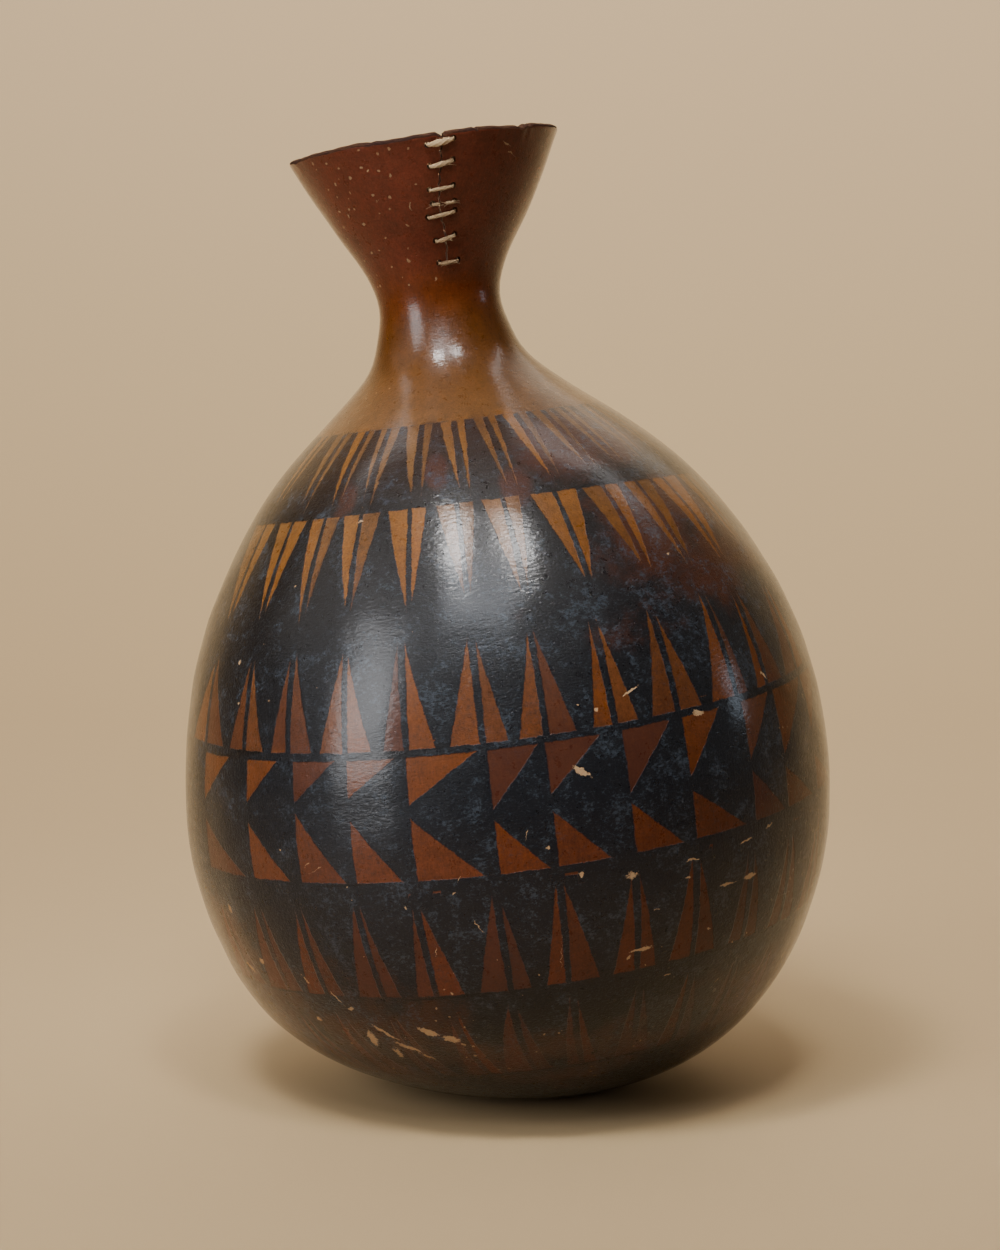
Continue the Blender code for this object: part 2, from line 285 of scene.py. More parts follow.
# Scars in the skin: degrees, height, half length, half width, slant in degrees, strength.
SCARS = (
    (-77.0, 111.5, 4.4, 1.1, -32, 1.0), (-54.3, 121.5, 3.1, 1.3, -8, 1.0),
    (-66.5, 131.3, 4.0, 0.5, 22, 1.0), (-76.0, 130.3, 0.8, 0.6, 0, 0.8),
    (-73.0, 128.0, 0.7, 0.6, 0, 0.8), (-36.2, 127.3, 2.4, 0.6, -60, 0.9),
    (-58.8, 80.1, 3.2, 0.5, 0, 0.9), (-70.3, 79.5, 3.4, 1.6, 5, 0.7),
    (-47.2, 81.5, 4.2, 0.5, 8, 0.9), (-79.0, 82.3, 1.1, 0.9, 0, 1.0),
    (-51.3, 70.2, 4.6, 0.6, 4, 0.9), (-46.0, 70.7, 3.6, 1.1, 6, 1.0),
    (-69.0, 56.8, 5.2, 0.8, 2, 1.0), (-71.5, 55.2, 1.4, 0.5, 50, 0.8),
    (-55.0, 58.2, 0.8, 0.7, 0, 0.8), (-111.5, 39.8, 4.6, 1.6, -30, 1.0),
    (-107.4, 36.8, 3.6, 1.9, -24, 1.0), (-125.0, 38.0, 2.2, 5.4, -12, 0.75),
    (-121.8, 32.5, 1.6, 4.6, -10, 0.7), (-126.0, 48.5, 1.6, 0.9, 20, 0.7),
    (-136.0, 44.5, 2.0, 1.2, 0, 0.7), (-151.0, 60.0, 4.2, 1.2, -35, 0.8),
    (-145.0, 63.0, 1.8, 1.6, 0, 0.8), (-150.0, 79.0, 2.0, 2.2, 0, 0.8),
    (-144.7, 152.0, 1.0, 1.8, 0, 0.9), (-143.0, 140.5, 0.8, 0.8, 0, 0.7),
    (-134.0, 141.0, 0.8, 0.6, 0, 0.7), (-132.0, 172.7, 0.5, 0.5, 0, 0.9),
    (-48.5, 167.0, 0.5, 0.5, 0, 0.9), (-117.0, 188.7, 2.2, 0.6, 10, 0.6),
    (-105.2, 65.5, 5.8, 0.22, 76, 0.45), (-100.0, 82.0, 1.6, 0.3, 30, 0.6),
    (-83.7, 60.0, 10.2, 0.2, 84, 0.5), (-124.6, 91.8, 5.6, 0.24, 26, 0.5),
    (-126.0, 93.4, 3.6, 0.2, 26, 0.45), (-131.5, 98.3, 0.6, 0.5, 0, 0.7),
    (-100.0, 279.0, 0.35, 2.6, 4, 0.6), (-116.0, 291.0, 0.8, 0.6, 0, 0.8),
    (-50.0, 293.5, 3.0, 0.3, -22, 0.8), (-46.0, 290.5, 3.4, 0.3, -26, 0.7),
    (30.0, 100.0, 3.0, 0.9, 20, 0.8), (80.0, 70.0, 2.4, 1.1, -30, 0.8),
    (140.0, 130.0, 1.6, 1.0, 0, 0.8), (110.0, 45.0, 3.6, 1.4, 12, 0.8),
    (-121.0, 40.0, 7.0, 1.0, -48, 0.75), (-118.0, 34.5, 6.0, 1.3, -42, 0.8),
    (-128.0, 52.0, 6.0, 0.5, -62, 0.6), (-115.5, 31.0, 5.0, 0.8, -40, 0.7),
    (-134.0, 58.0, 5.0, 0.5, -58, 0.6), (-97.0, 72.0, 5.0, 0.25, -62, 0.6),
    (-99.0, 86.0, 2.6, 0.2, 58, 0.6), (-87.0, 96.5, 3.4, 0.2, 78, 0.6),
    (-60.0, 75.5, 1.8, 0.4, 0, 0.7), (-66.0, 68.0, 1.6, 0.4, 6, 0.7),
    (-63.0, 47.0, 2.0, 0.4, 8, 0.6), (-50.0, 40.0, 3.0, 0.35, 52, 0.5),
    (-41.0, 84.0, 3.0, 0.4, 14, 0.8), (-84.0, 91.5, 1.0, 0.8, 0, 0.7),
    (-104.0, 52.0, 0.8, 0.8, 0, 0.7),
)
# Faint dents of the grown skin.
WAVE_SEED = 5
WAVE_COUNT = 14
WAVE_HEIGHT = 0.035

# How fine the shell's grid and the strands are.
COLUMNS = 300
COLUMN_BUNCHING = 0.8
LOWER_ROWS = 120
CRACK_ROWS = 76
LIP_ROWS = 6
INNER_ROWS = 24
STRAND_SIDES = 18
STRAND_STEP = 0.22
HAIR_SEED = 23

# Where the photograph was taken from.
CAMERA_PLACE = (-7.4, -965.2, 241.4)
CAMERA_TILT = 84.29
CAMERA_LENS = 89.28
# Each light, turned to LIGHT_AIM: degrees from the front towards the right, degrees up, distance, width
# and height in metres, which of the two strengths it takes and its share of it, how many degrees its
# light spreads, and its colour.
LIGHTS = {
    "pane_left": (-29.0, 59.0, 1.3, 0.25, 0.25, "window_power", 0.5, 60.0, (1.0, 0.985, 0.97)),
    "pane_right": (9.5, 61.5, 1.3, 0.22, 0.2, "window_power", 0.33, 60.0, (1.0, 0.985, 0.97)),
    "pane_low": (-14.0, 47.0, 1.3, 0.62, 0.5, "window_power", 0.34, 60.0, (0.86, 0.92, 1.0)),
    "sky_left": (-51.0, 17.0, 1.5, 0.56, 0.95, "soft_power", 1.6, 80.0, (0.96, 0.97, 1.0)),
    "fill_left": (-84.0, 34.0, 2.2, 1.6, 1.2, "soft_power", 0.5, 90.0, (1.0, 0.95, 0.88)),
    "fill_right": (90.0, 13.0, 1.7, 0.26, 0.18, "soft_power", 0.05, 60.0, (0.7, 0.84, 1.0)),
    "fill_back": (165.0, 40.0, 2.4, 1.8, 1.4, "soft_power", 0.7, 90.0, (1.0, 0.96, 0.9)),
}
# The floor curves up into a wall behind, which has a lamp of its own: its place, tilt, size and share.
WALL_PLACE = 1.9
WALL_BEND = 1.0
WALL_TOP = 3.4
WALL_LAMP = ((0.0, 0.55, 1.9), 66.0, (3.0, 0.5), 42.0)
LIGHT_AIM = (-8.0, -10.0, 150.0)


def natural_spline(places, values):
    """The smooth curve through the values, with no bend at its two ends (a natural cubic spline)."""
    x = np.array(places, float)
    y = np.array(values, float)
    step = np.diff(x)
    slope = np.diff(y) / step
    last = len(x) - 1
    matrix = np.eye(last + 1)
    right = np.zeros(last + 1)
    for i in range(1, last):
        matrix[i, i - 1 : i + 2] = step[i - 1], 2 * (step[i - 1] + step[i]), step[i]
        right[i] = 6 * (slope[i] - slope[i - 1])
    bend = np.linalg.solve(matrix, right)

    def curve(at):
        i = np.clip(np.searchsorted(x, at) - 1, 0, last - 1)
        to_next = x[i + 1] - at
        from_this = at - x[i]
        cubic = (bend[i] * to_next**3 + bend[i + 1] * from_this**3) / (6 * step[i])
        return (
            cubic
            + (y[i] / step[i] - bend[i] * step[i] / 6) * to_next
            + (y[i + 1] / step[i] - bend[i + 1] * step[i] / 6) * from_this
        )

    return curve


HEIGHTS, RADII, STRAYS = zip(*OUTLINE)
radius_squared = natural_spline(HEIGHTS, [radius**2 for radius in RADII])
stray = natural_spline(HEIGHTS, STRAYS)


def profile(height):
    """Radius = root of the squared-radius curve; the normal leans by the slope of that curve."""
    nudge = 0.01
    radius = np.sqrt(np.maximum(radius_squared(height), 0.0))
    rise = (radius_squared(height + nudge) - radius_squared(height - nudge)) / (4 * nudge)
    length = np.hypot(radius, rise)
    return radius, radius / length, -rise / length


def settled(z):
    """Heights pressed flat against the ground: 0 below it, and a parabola into the flat spot."""
    blend = (z + SETTLE) ** 2 / (4 * SETTLE)
    return np.where(z < -SETTLE, 0.0, np.where(z < SETTLE, blend, z))


def stand(radius, angle, height, depth):
    """Own-axis places (radius, angle, height) with the grown lumps, leant left, tipped back and settled."""
    lumps = sum(
        size * np.sin(count * angle) * np.cos(2 * pi * height / swing)
        for size, count, swing in LUMPS
    )
    radius = radius * (1 + lumps / 100.0)
    x = stray(height) + radius * np.cos(angle)
    y = radius * np.sin(angle)
    z = height - LEAN_PIVOT
    x, z = x * cos(LEAN_LEFT) - z * sin(LEAN_LEFT), x * sin(LEAN_LEFT) + z * cos(LEAN_LEFT)
    y, z = y * cos(TIP_BACK) + z * sin(TIP_BACK), z * cos(TIP_BACK) - y * sin(TIP_BACK)
    z = z + LEAN_PIVOT - SINK
    z = settled(z - depth) + depth
    return np.stack([x + SHIFT[0], y + SHIFT[1], z], -1) * MM


def skin(angle, height, depth=0.0):
    """The point so many mm under the outside, square to it; a negative depth is outside."""
    radius, out, up = profile(height)
    return stand(radius - depth * out, angle, height - depth * up, 0.0)


def wall(height):
    """Thickness of the shell: full at the belly, thinner towards the rim in a straight line."""
    share = np.clip((height - WALL_THINS_FROM) / (RIM_HEIGHT - WALL_THINS_FROM), 0.0, 1.0)
    return WALL_AT_BELLY + share * (WALL_AT_RIM - WALL_AT_BELLY)


def linear(colour):
    """A colour of 255 as the linear values that shaders take."""
    share = np.array(colour, float) / 255
    return np.where(share < 0.04045, share / 12.92, ((share + 0.055) / 1.055) ** 2.4)


def colour_by_height(stops, height):
    """The linear colour between the two stops around each height."""
    heights = [stop[0] for stop in stops]
    colours = np.array([linear(stop[1]) for stop in stops])
    return np.stack([np.interp(height, heights, colours[:, i]) for i in range(3)], -1)


def around(angle, middle):
    """How far an angle is from a middle, in degrees between -180 and 180, the short way round."""
    return (np.degrees(angle) - middle + 180.0) % 360.0 - 180.0


def even_heights(low, high, count):
    """Heights from low to high, evenly spaced along the outline."""
    fine = low + (high - low) * np.linspace(0, 1, 3000) ** (2 if low == 0 else 1)
    along = np.concatenate([[0], np.cumsum(np.hypot(np.diff(fine), np.diff(profile(fine)[0])))])
    return np.interp(np.linspace(0, along[-1], count + 1), along, fine)


def shell_section():
    """The cut-through shell from the bottom outside, over the lip, to the bottom inside.

    Returns height, depth, radius and own-axis height of each row.
    """
    lower = even_heights(0.0, CRACK_FOOT, LOWER_ROWS)
    cracked = np.linspace(CRACK_FOOT, RIM_HEIGHT - LIP_ROUNDING, CRACK_ROWS + 1)[1:]
    outside = np.concatenate([lower, cracked])
    inside = np.concatenate([even_heights(0.0, CRACK_FOOT, INNER_ROWS), cracked])[::-1]
    out_radius = profile(outside)[0]
    radius, out, up = profile(inside)
    depth = wall(inside)
    in_radius = np.maximum(radius - depth * out, 0.0)
    in_height = np.minimum(inside - depth * up, RIM_HEIGHT)
    share = np.arange(1, LIP_ROWS + 1) / (LIP_ROWS + 1)
    ease = (1 - np.cos(pi * share)) / 2
    lip_radius = out_radius[-1] + (in_radius[0] - out_radius[-1]) * ease
    crown = LIP_ROUNDING * np.sqrt(np.sin(pi * share))
    lip_height = outside[-1] + (in_height[0] - outside[-1]) * ease + crown
    return {
        "height": np.concatenate([outside, np.full(LIP_ROWS, RIM_HEIGHT - LIP_ROUNDING), inside]),
        "depth": np.concatenate([np.zeros(len(outside)), WALL_AT_RIM * ease, depth]),
        "radius": np.concatenate([out_radius, lip_radius, in_radius]),
        "level": np.concatenate([outside, lip_height, in_height]),
    }


def rim_dip(angle):
    """How much the cut rim is lower: small waves, a nick at the crack and a few chips beside it."""
    waves = 0.18 * np.sin(7 * angle + 1.0) + 0.12 * np.sin(13 * angle) + 0.06 * np.sin(41 * angle + 2.0)
    dip = 0.36 + waves
    for middle, wide, deep in RIM_CHIPS:
        dip = dip + deep * np.maximum(0.0, 1 - np.abs(around(angle, middle)) / wide)
    return dip


def surface_waves(own):
    """Faint dents of the grown skin: a sum of sines along seeded directions, 15 to 40 mm long."""
    rng = np.random.default_rng(WAVE_SEED)
    waves = np.zeros(own.shape[:-1])
    for _ in range(WAVE_COUNT):
        direction = rng.normal(size=3)
        direction /= np.linalg.norm(direction)
        length, phase = rng.uniform(15, 40), rng.uniform(0, 2 * pi)
        waves += WAVE_HEIGHT * np.sin(own @ direction * 2 * pi / length + phase)
    return waves


def crack_place(height):
    """Angle of the crack's middle and half its width as an angle; no width at and below its foot."""
    degrees, heights, widths = (np.array(values)[::-1] for values in zip(*CRACK))
    half = np.interp(height, heights, widths) / 2
    wander = 0.35 * np.sin(height * 1.9) + 0.2 * np.sin(height * 4.7 + 1.0)
    free = np.clip((height - CRACK_FOOT) / 6.0, 0.0, 1.0)
    return np.radians(np.interp(height, heights, degrees) + wander * free), half / profile(height)[0]


def hole_places():
    """Angle and height of every lacing hole."""
    return [
        (radians(stitch[side]), stitch[side + 1])
        for stitch in STITCHES
        for side in (0, 2)
    ]


def shell_grid():
    """Angles and section values of every grid point, columns bunched towards the crack.

    Column share = u - b/(2 pi) sin(2 pi u), laid between the two sides of the crack, so that the first
    and the last column are its right and left edge, and one and the same line below its foot.
    """
    section = shell_section()
    share = np.linspace(0, 1, COLUMNS + 1)
    bunched = share - COLUMN_BUNCHING / (2 * pi) * np.sin(2 * pi * share)
    middle, half = crack_place(section["height"])
    angle = middle[:, None] + half[:, None] + (2 * pi - 2 * half[:, None]) * bunched[None, :]
    grid = {key: np.repeat(values[:, None], COLUMNS + 1, 1) for key, values in section.items()}
    grid["angle"] = angle
    return grid


def cut_holes(grid, first):
    """Marks the crack-zone cells inside a lacing hole and draws their outline onto the hole's circle."""
    rows = slice(first, first + CRACK_ROWS + 1)
    height = grid["height"][rows]
    angle = grid["angle"][rows]
    dropped = np.zeros((CRACK_ROWS, COLUMNS), bool)
    shift_angle = np.zeros_like(angle)
    shift_height = np.zeros_like(height)
    for hole_angle, hole_height in hole_places():
        around_mm = np.radians(around(angle, np.degrees(hole_angle))) * profile(hole_height)[0]
        up_mm = height - hole_height
        distance = np.hypot(around_mm, up_mm)
        middle = (distance[:-1, :-1] + distance[1:, :-1] + distance[:-1, 1:] + distance[1:, 1:]) / 4
        inside = middle < HOLE_RADIUS
        dropped |= inside
        near = np.zeros_like(distance, bool)
        kept = np.zeros_like(distance, bool)
        for down, right in ((0, 0), (1, 0), (0, 1), (1, 1)):
            place = (slice(down, down + CRACK_ROWS), slice(right, right + COLUMNS))
            near[place] |= inside
            kept[place] |= ~inside
        edge = near & kept
        stretch = np.where(edge, HOLE_RADIUS / np.maximum(distance, 0.2) - 1, 0.0)
        shift_angle += stretch * around_mm / profile(hole_height)[0]
        shift_height += stretch * up_mm
    return dropped, shift_angle, shift_height


def shell_surface():
    """The whole shell as one closed grid surface: outside, lip and inside, bridged at the crack and holes.

    A point is stand(radius, angle, level, depth); the radius takes the faint dents, and the rows near the
    rim are lowered by the rim's dips. The holes' outlines are moved onto circles in (arc, height).
    """
    grid = shell_grid()
    rows = len(grid["angle"])
    first_out = LOWER_ROWS
    top_out = LOWER_ROWS + CRACK_ROWS
    top_in = top_out + LIP_ROWS + 1
    last_in = top_in + CRACK_ROWS
    dropped, shift_angle, shift_height = cut_holes(grid, first_out)
    grid["angle"][first_out : top_out + 1] += shift_angle
    grid["angle"][top_in : last_in + 1] += shift_angle[::-1]
    for key in ("height", "level"):
        grid[key][first_out : top_out + 1] += shift_height
        grid[key][top_in : last_in + 1] += shift_height[::-1]
    over = grid["height"] - (RIM_HEIGHT - RIM_DIPS_DEPTH)
    near_rim = np.clip(over / (RIM_DIPS_DEPTH - LIP_ROUNDING), 0, 1) ** 2
    level = grid["level"] - rim_dip(grid["angle"]) * near_rim
    own = np.stack(
        [grid["radius"] * np.cos(grid["angle"]), grid["radius"] * np.sin(grid["angle"]), level], -1
    )
    # The dents fade out at the flat spot, so that it stays flat.
    dents = surface_waves(own) * np.clip((grid["height"] - 12) / 20, 0, 1)
    points = stand(grid["radius"] + dents, grid["angle"], level, grid["depth"])

    index = np.arange(rows * (COLUMNS + 1)).reshape(rows, COLUMNS + 1)
    closed = np.ones(rows, bool)
    closed[first_out + 1 : last_in] = False
    index[closed, COLUMNS] = index[closed, 0]
    index[0, :] = index[0, 0]
    index[-1, :] = index[-1, 0]
    keep = np.ones((rows - 1, COLUMNS), bool)
    keep[first_out:top_out] = ~dropped
    keep[top_in:last_in] = ~dropped[::-1]
    corner = (index[:-1, :-1], index[:-1, 1:], index[1:, 1:], index[1:, :-1])
    quads = np.stack([values[keep] for values in corner], -1)
    zone = np.repeat(np.arange(rows - 1)[:, None], COLUMNS, 1)[keep]
    slot = np.where(zone < top_out, 0, np.where(zone < top_in, 1, 2))

    out = index[first_out : top_out + 1]
    inn = index[top_in : last_in + 1][::-1]
    sides = []
    for column in (0, COLUMNS):
        sides.append(np.stack([out[:-1, column], out[1:, column], inn[1:, column], inn[:-1, column]], -1))
    padded = np.pad(dropped, 1)
    upright = padded[1:-1, 1:] != padded[1:-1, :-1]
    level_edge = padded[1:, 1:-1] != padded[:-1, 1:-1]
    r, c = np.nonzero(upright)
    sides.append(np.stack([out[r, c], out[r + 1, c], inn[r + 1, c], inn[r, c]], -1))
    r, c = np.nonzero(level_edge)
    sides.append(np.stack([out[r, c], out[r, c + 1], inn[r, c + 1], inn[r, c]], -1))
    side_quads = np.concatenate(sides)
    caps = [list(index[top_out : top_in + 1, column]) for column in (0, COLUMNS)]
    faces = [list(dict.fromkeys(face)) for face in np.concatenate([quads, side_quads]).tolist()] + caps
    slots = np.concatenate([slot, np.ones(len(side_quads) + 2, int)])
    return grid, own, points, faces, slots


def band_line(angle_degrees, base, swing, crest):
    """The height of a band's edge at an angle: base + swing times cos(angle - crest)."""
    return base + swing * np.cos(np.radians(angle_degrees - crest))


def back_pairs(rng):
    """Pairs for the side away from the front, spaced evenly and widened at random."""
    count = int((BACK_TO - BACK_FROM) / BACK_STEP)
    middles = BACK_FROM + BACK_STEP * (np.arange(count) + 0.5) + rng.normal(0, BACK_STRAY, count)
    return [(float(middle), *rng.uniform(*BACK_WIDTHS, 2)) for middle in middles]


def triangles():
    """Every scraped triangle as (three corners in degrees and mm, layer, tint, wear)."""
    rng = np.random.default_rng(TRIANGLE_SEED)
    shapes = []
    for name, (pairs, base, swing, crest, tip, slit, layer) in BANDS.items():
        for middle, left, right in list(pairs) + back_pairs(rng):
            for side, width in ((-1, left), (1, right)):
                inner = middle + side * slit / 2
                outer = inner + side * width
                lift = rng.normal(0, TIP_STRAY)
                tip_level = tip + lift + (band_line(middle, base, swing, crest) - base) * 0.25
                corners = (
                    (inner, band_line(inner, base, swing, crest)),
                    (outer, band_line(outer, base, swing, crest)),
                    (inner + side * rng.uniform(0.0, 0.35), tip_level),
                )
                wear = rng.uniform(0, 0.25) + (0.2 if name == "foot" else 0.0)
                shapes.append((corners, layer * 2 + (side + 1) // 2, rng.uniform(-1, 1), wear))
    cells = list(CELLS)
    for middle, _, _ in back_pairs(rng):
        left = middle - BACK_STEP / 2 + 1.0
        reach = rng.uniform(*CELL_WIDTHS, 2)
        bottom = band_line(left, *CELL_BOTTOM)
        band = band_line(left, *CELL_TOP) - bottom
        tips = bottom + BACK_TIPS * band + rng.normal(0, CELL_TIP_STRAY, 2)
        cells.append((left, left + reach[0], left + reach[1], *tips))
    for number, (left, upper_end, lower_end, upper_tip, lower_tip) in enumerate(cells):
        upper = (CELL_TOP, upper_end, upper_tip, 2)
        lower = (CELL_BOTTOM, lower_end, lower_tip, 0)
        for edge, end, tip, layer in (upper, lower):
            corners = ((left, band_line(left, *edge)), (end, band_line(end, *edge)), (left, tip))
            shapes.append((corners, layer + number % 2, rng.uniform(-1, 1), rng.uniform(0, 0.2)))
    return shapes


def triangle_fields(angle, height):
    """For each of four layers the distances (mm, positive inside) to the nearest triangle's three sides.

    Distance = (point - corner) . inward side normal, in arc length by height at the triangle's own radius.
    Large positive values are capped, so that two far triangles never add up to a false one between them.
    """
    radius = profile(height)[0]
    cap = 0.045 * radius + 0.4
    fields = [np.full((len(angle), 3), -9.0) for _ in range(4)]
    best = [np.full(len(angle), -1e9) for _ in range(4)]
    look = np.zeros((len(angle), 2))
    overall = np.full(len(angle), -1e9)
    for corners, layer, tint, wear in triangles():
        centre = np.mean(corners, 0)
        scale = float(profile(centre[1])[0]) * pi / 180
        x = around(angle, centre[0]) * scale
        y = height - centre[1]
        local = [((a - centre[0]) * scale, h - centre[1]) for a, h in corners]
        sides = []
        for i in range(3):
            (ax, ay), (bx, by) = local[i], local[(i + 1) % 3]
            length = np.hypot(bx - ax, by - ay)
            nx, ny = -(by - ay) / length, (bx - ax) / length
            sign = 1.0 if (0 - ax) * nx + (0 - ay) * ny > 0 else -1.0
            sides.append(sign * ((x - ax) * nx + (y - ay) * ny))
        sides = np.stack(sides, -1)
        inside = sides.min(-1)
        nearer = inside > best[layer]
        best[layer] = np.where(nearer, inside, best[layer])
        fields[layer][nearer] = sides[nearer]
        nearest = inside > overall
        overall = np.where(nearest, inside, overall)
        look[nearest] = tint, wear
    fields = [np.minimum(field, cap[:, None]) for field in fields]
    return fields, look


def rubbed_share(angle, height):
    """How far the black has rubbed off: the largest of the soft ovals, each 1 in its middle."""
    share = np.zeros_like(angle)
    for degrees, middle, half_turn, half_height, strength in RUBBED:
        reach = np.hypot(around(angle, degrees) / half_turn, (height - middle) / half_height)
        share = np.maximum(share, strength * np.clip(1.6 - 1.2 * reach, 0, 1))
    return share


def mesh_object(name, points, faces, slots, materials):
    """A mesh object from arrays, with its materials and smooth shading."""
    mesh = bpy.data.meshes.new(name)
    mesh.from_pydata(np.reshape(points, (-1, 3)).tolist(), [], faces)
    mesh.validate()
    for finish in materials:
        mesh.materials.append(finish)
    mesh.polygons.foreach_set("material_index", np.asarray(slots, np.int32))
    mesh.shade_smooth()
    made = bpy.data.objects.new(name, mesh)
    bpy.context.scene.collection.objects.link(made)
    return made


def turn_outwards(made, sharp_from):
    """Drops points that no face uses and turns every face outwards."""
    work = bmesh.new()
    work.from_mesh(made.data)
    bmesh.ops.delete(work, geom=[v for v in work.verts if not v.link_faces], context="VERTS")
    bmesh.ops.recalc_face_normals(work, faces=work.faces)
    work.to_mesh(made.data)
    work.free()
    made.data.set_sharp_from_angle(angle=radians(sharp_from))


def put_attribute(mesh, name, values, kind="FLOAT_VECTOR"):
    """Stores one value for each point of the mesh."""
    layer = mesh.attributes.new(name, kind, "POINT")
    if kind == "FLOAT":
        layer.data.foreach_set("value", np.ascontiguousarray(values, np.float32))
    else:
        layer.data.foreach_set("vector", np.ascontiguousarray(values, np.float32).ravel())


class Nodes:
    """A material under construction: each method adds one node and gives back its output."""

    def __init__(self, name):
        self.material = bpy.data.materials.new(name)
        self.material.use_nodes = True
        self.tree = self.material.node_tree
        self.shader = self.tree.nodes["Principled BSDF"]

    def put(self, socket, value):
        """Links an output to a socket, or sets a plain value on it."""
        if isinstance(value, bpy.types.NodeSocket):
            self.tree.links.new(value, socket)
        elif value is not None:
            socket.default_value = value

    def add(self, kind, sockets, **settings):
        """A new node with its settings, and its sockets linked or set."""
        node = self.tree.nodes.new("ShaderNode" + kind)
        for name, value in settings.items():
            setattr(node, name, value)
        for socket, value in sockets.items():
            self.put(node.inputs[socket], value)
        return node

    def attribute(self, name, output="Vector"):
        """A value that is stored on the mesh's points."""
        return self.add("Attribute", {}, attribute_name=name).outputs[output]

    def math(self, operation, a, b=None, c=None):
        """One step of arithmetic."""
        return self.add("Math", dict(enumerate((a, b, c))), operation=operation).outputs[0]

    def centred(self, value):
        """A value from 0 to 1 as one from -0.5 to 0.5."""
        return self.math("SUBTRACT", value, 0.5)

    def added(self, start, value, share):
        """The start plus this share of the value."""
        return self.math("MULTIPLY_ADD", value, share, start)

    def split(self, vector):
        """The three parts of a vector."""
        return self.add("SeparateXYZ", {0: vector}).outputs

    def noise(self, vector, scale, detail=3.0, roughness=0.55, stretch=None):
        """Noise from 0 to 1; the scale is in waves for each unit of the vector."""
        if stretch:
            vector = self.mapping(vector, scale=stretch)
        sockets = {"Vector": vector, "Scale": scale, "Detail": detail, "Roughness": roughness}
        return self.add("TexNoise", sockets).outputs["Fac"]

    def warped(self, vector, scale, reach):
        """The vector pushed about by coloured noise, up to half the reach each way."""
        colours = self.add("TexNoise", {"Vector": vector, "Scale": scale}).outputs["Color"]
        moved = self.mapping(colours, (-reach / 2,) * 3, scale=(reach,) * 3)
        return self.add("VectorMath", {0: vector, 1: moved}, operation="ADD").outputs[0]

    def mapping(self, vector, place=(0, 0, 0), turn=(0, 0, 0), scale=(1, 1, 1), kind="POINT"):
        """The vector stretched, turned and moved, or with TEXTURE brought back from that."""
        sockets = {"Vector": vector, "Location": place, "Rotation": turn, "Scale": scale}
        return self.add("Mapping", sockets, vector_type=kind).outputs[0]

    def step(self, value, low, high, out_low=0.0, out_high=1.0):
        """A soft step from out_low to out_high while the value goes from low to high."""
        sockets = dict(enumerate((value, low, high, out_low, out_high)))
        return self.add("MapRange", sockets, interpolation_type="SMOOTHSTEP").outputs[0]

    def mix(self, share, a, b, blend="MIX"):
        """Colour a where the share is 0, colour b where it is 1; a name stands for one of COLOURS."""
        a, b = (rgba(colour) if isinstance(colour, str) else colour for colour in (a, b))
        sockets = {"Factor": share, 6: a, 7: b}
        return self.add("Mix", sockets, data_type="RGBA", blend_type=blend).outputs[2]

    def bump(self, height, depth_mm, socket="Normal"):
        """Relief on the shader's own normal, or on another one of its normals."""
        sockets = {"Strength": 1.0, "Distance": depth_mm * MM, "Height": height}
        self.put(self.shader.inputs[socket], self.add("Bump", sockets).outputs[0])

    def finish(self, colour, roughness, specular):
        """The finished material."""
        self.put(self.shader.inputs["Base Color"], colour)
        self.put(self.shader.inputs["Roughness"], roughness)
        self.shader.inputs["Specular IOR Level"].default_value = specular
        return self.material


def rgb(colour):
    """A colour of 255 as the three linear values of a colour setting."""
    return tuple(float(value) for value in linear(colour))


def rgba(name):
    """One of COLOURS as the four linear values of a colour socket."""
    return (*rgb(COLOURS[name]), 1.0)


def scar_oval(nodes, own, scar):
    """One scar: 1 in the middle of its oval, 0 at its edge and outside, on the own-axis coordinates."""
    degrees, height, half_length, half_width, slant, strength = scar
    radius, out, up = (float(value) for value in profile(float(height)))
    turn = radians(degrees)
    sideways = Vector((-sin(turn), cos(turn), 0))
    normal = Vector((out * cos(turn), out * sin(turn), up))
    upwards = normal.cross(sideways)
    along = sideways * cos(radians(slant)) + upwards * sin(radians(slant))
    rotation = Matrix((along, normal.cross(along), normal)).transposed().to_euler("XYZ")
    place = (radius * cos(turn), radius * sin(turn), height)
    local = nodes.mapping(own, place, rotation, (half_length, half_width, WALL_AT_BELLY), "TEXTURE")
    ball = nodes.add("TexGradient", {0: local}, gradient_type="SPHERICAL").outputs["Fac"]
    return nodes.math("MULTIPLY", ball, strength)


def scar_mask(nodes, own):
    """All scars at once, with ragged edges, and the small pale pits scattered over the skin."""
    ragged = nodes.noise(own, 1.1, 5.0, 0.72)
    warped = nodes.warped(own, 0.5, 2.0)
    largest = None
    for scar in SCARS:
        oval = scar_oval(nodes, warped, scar)
        largest = oval if largest is None else nodes.math("MAXIMUM", largest, oval)
    scars = nodes.step(nodes.added(largest, ragged, 1.3), 0.92, 1.1)
    # Outside every oval the ragged noise alone would still leave marks, so they are taken away there.
    scars = nodes.math("MULTIPLY", scars, nodes.step(largest, 0.0, 0.06))
    pits = nodes.add("TexVoronoi", {"Vector": warped, "Scale": 0.3}).outputs["Distance"]
    patchy = nodes.added(nodes.noise(own, 0.06, 2.0), nodes.attribute("pitted", "Fac"), 0.3)
    size = nodes.step(patchy, 0.5, 0.85, 0.0, 0.19)
    specks = nodes.math("LESS_THAN", nodes.added(pits, ragged, 0.08), size)
    return nodes.math("MAXIMUM", scars, nodes.math("MULTIPLY", specks, 0.7))


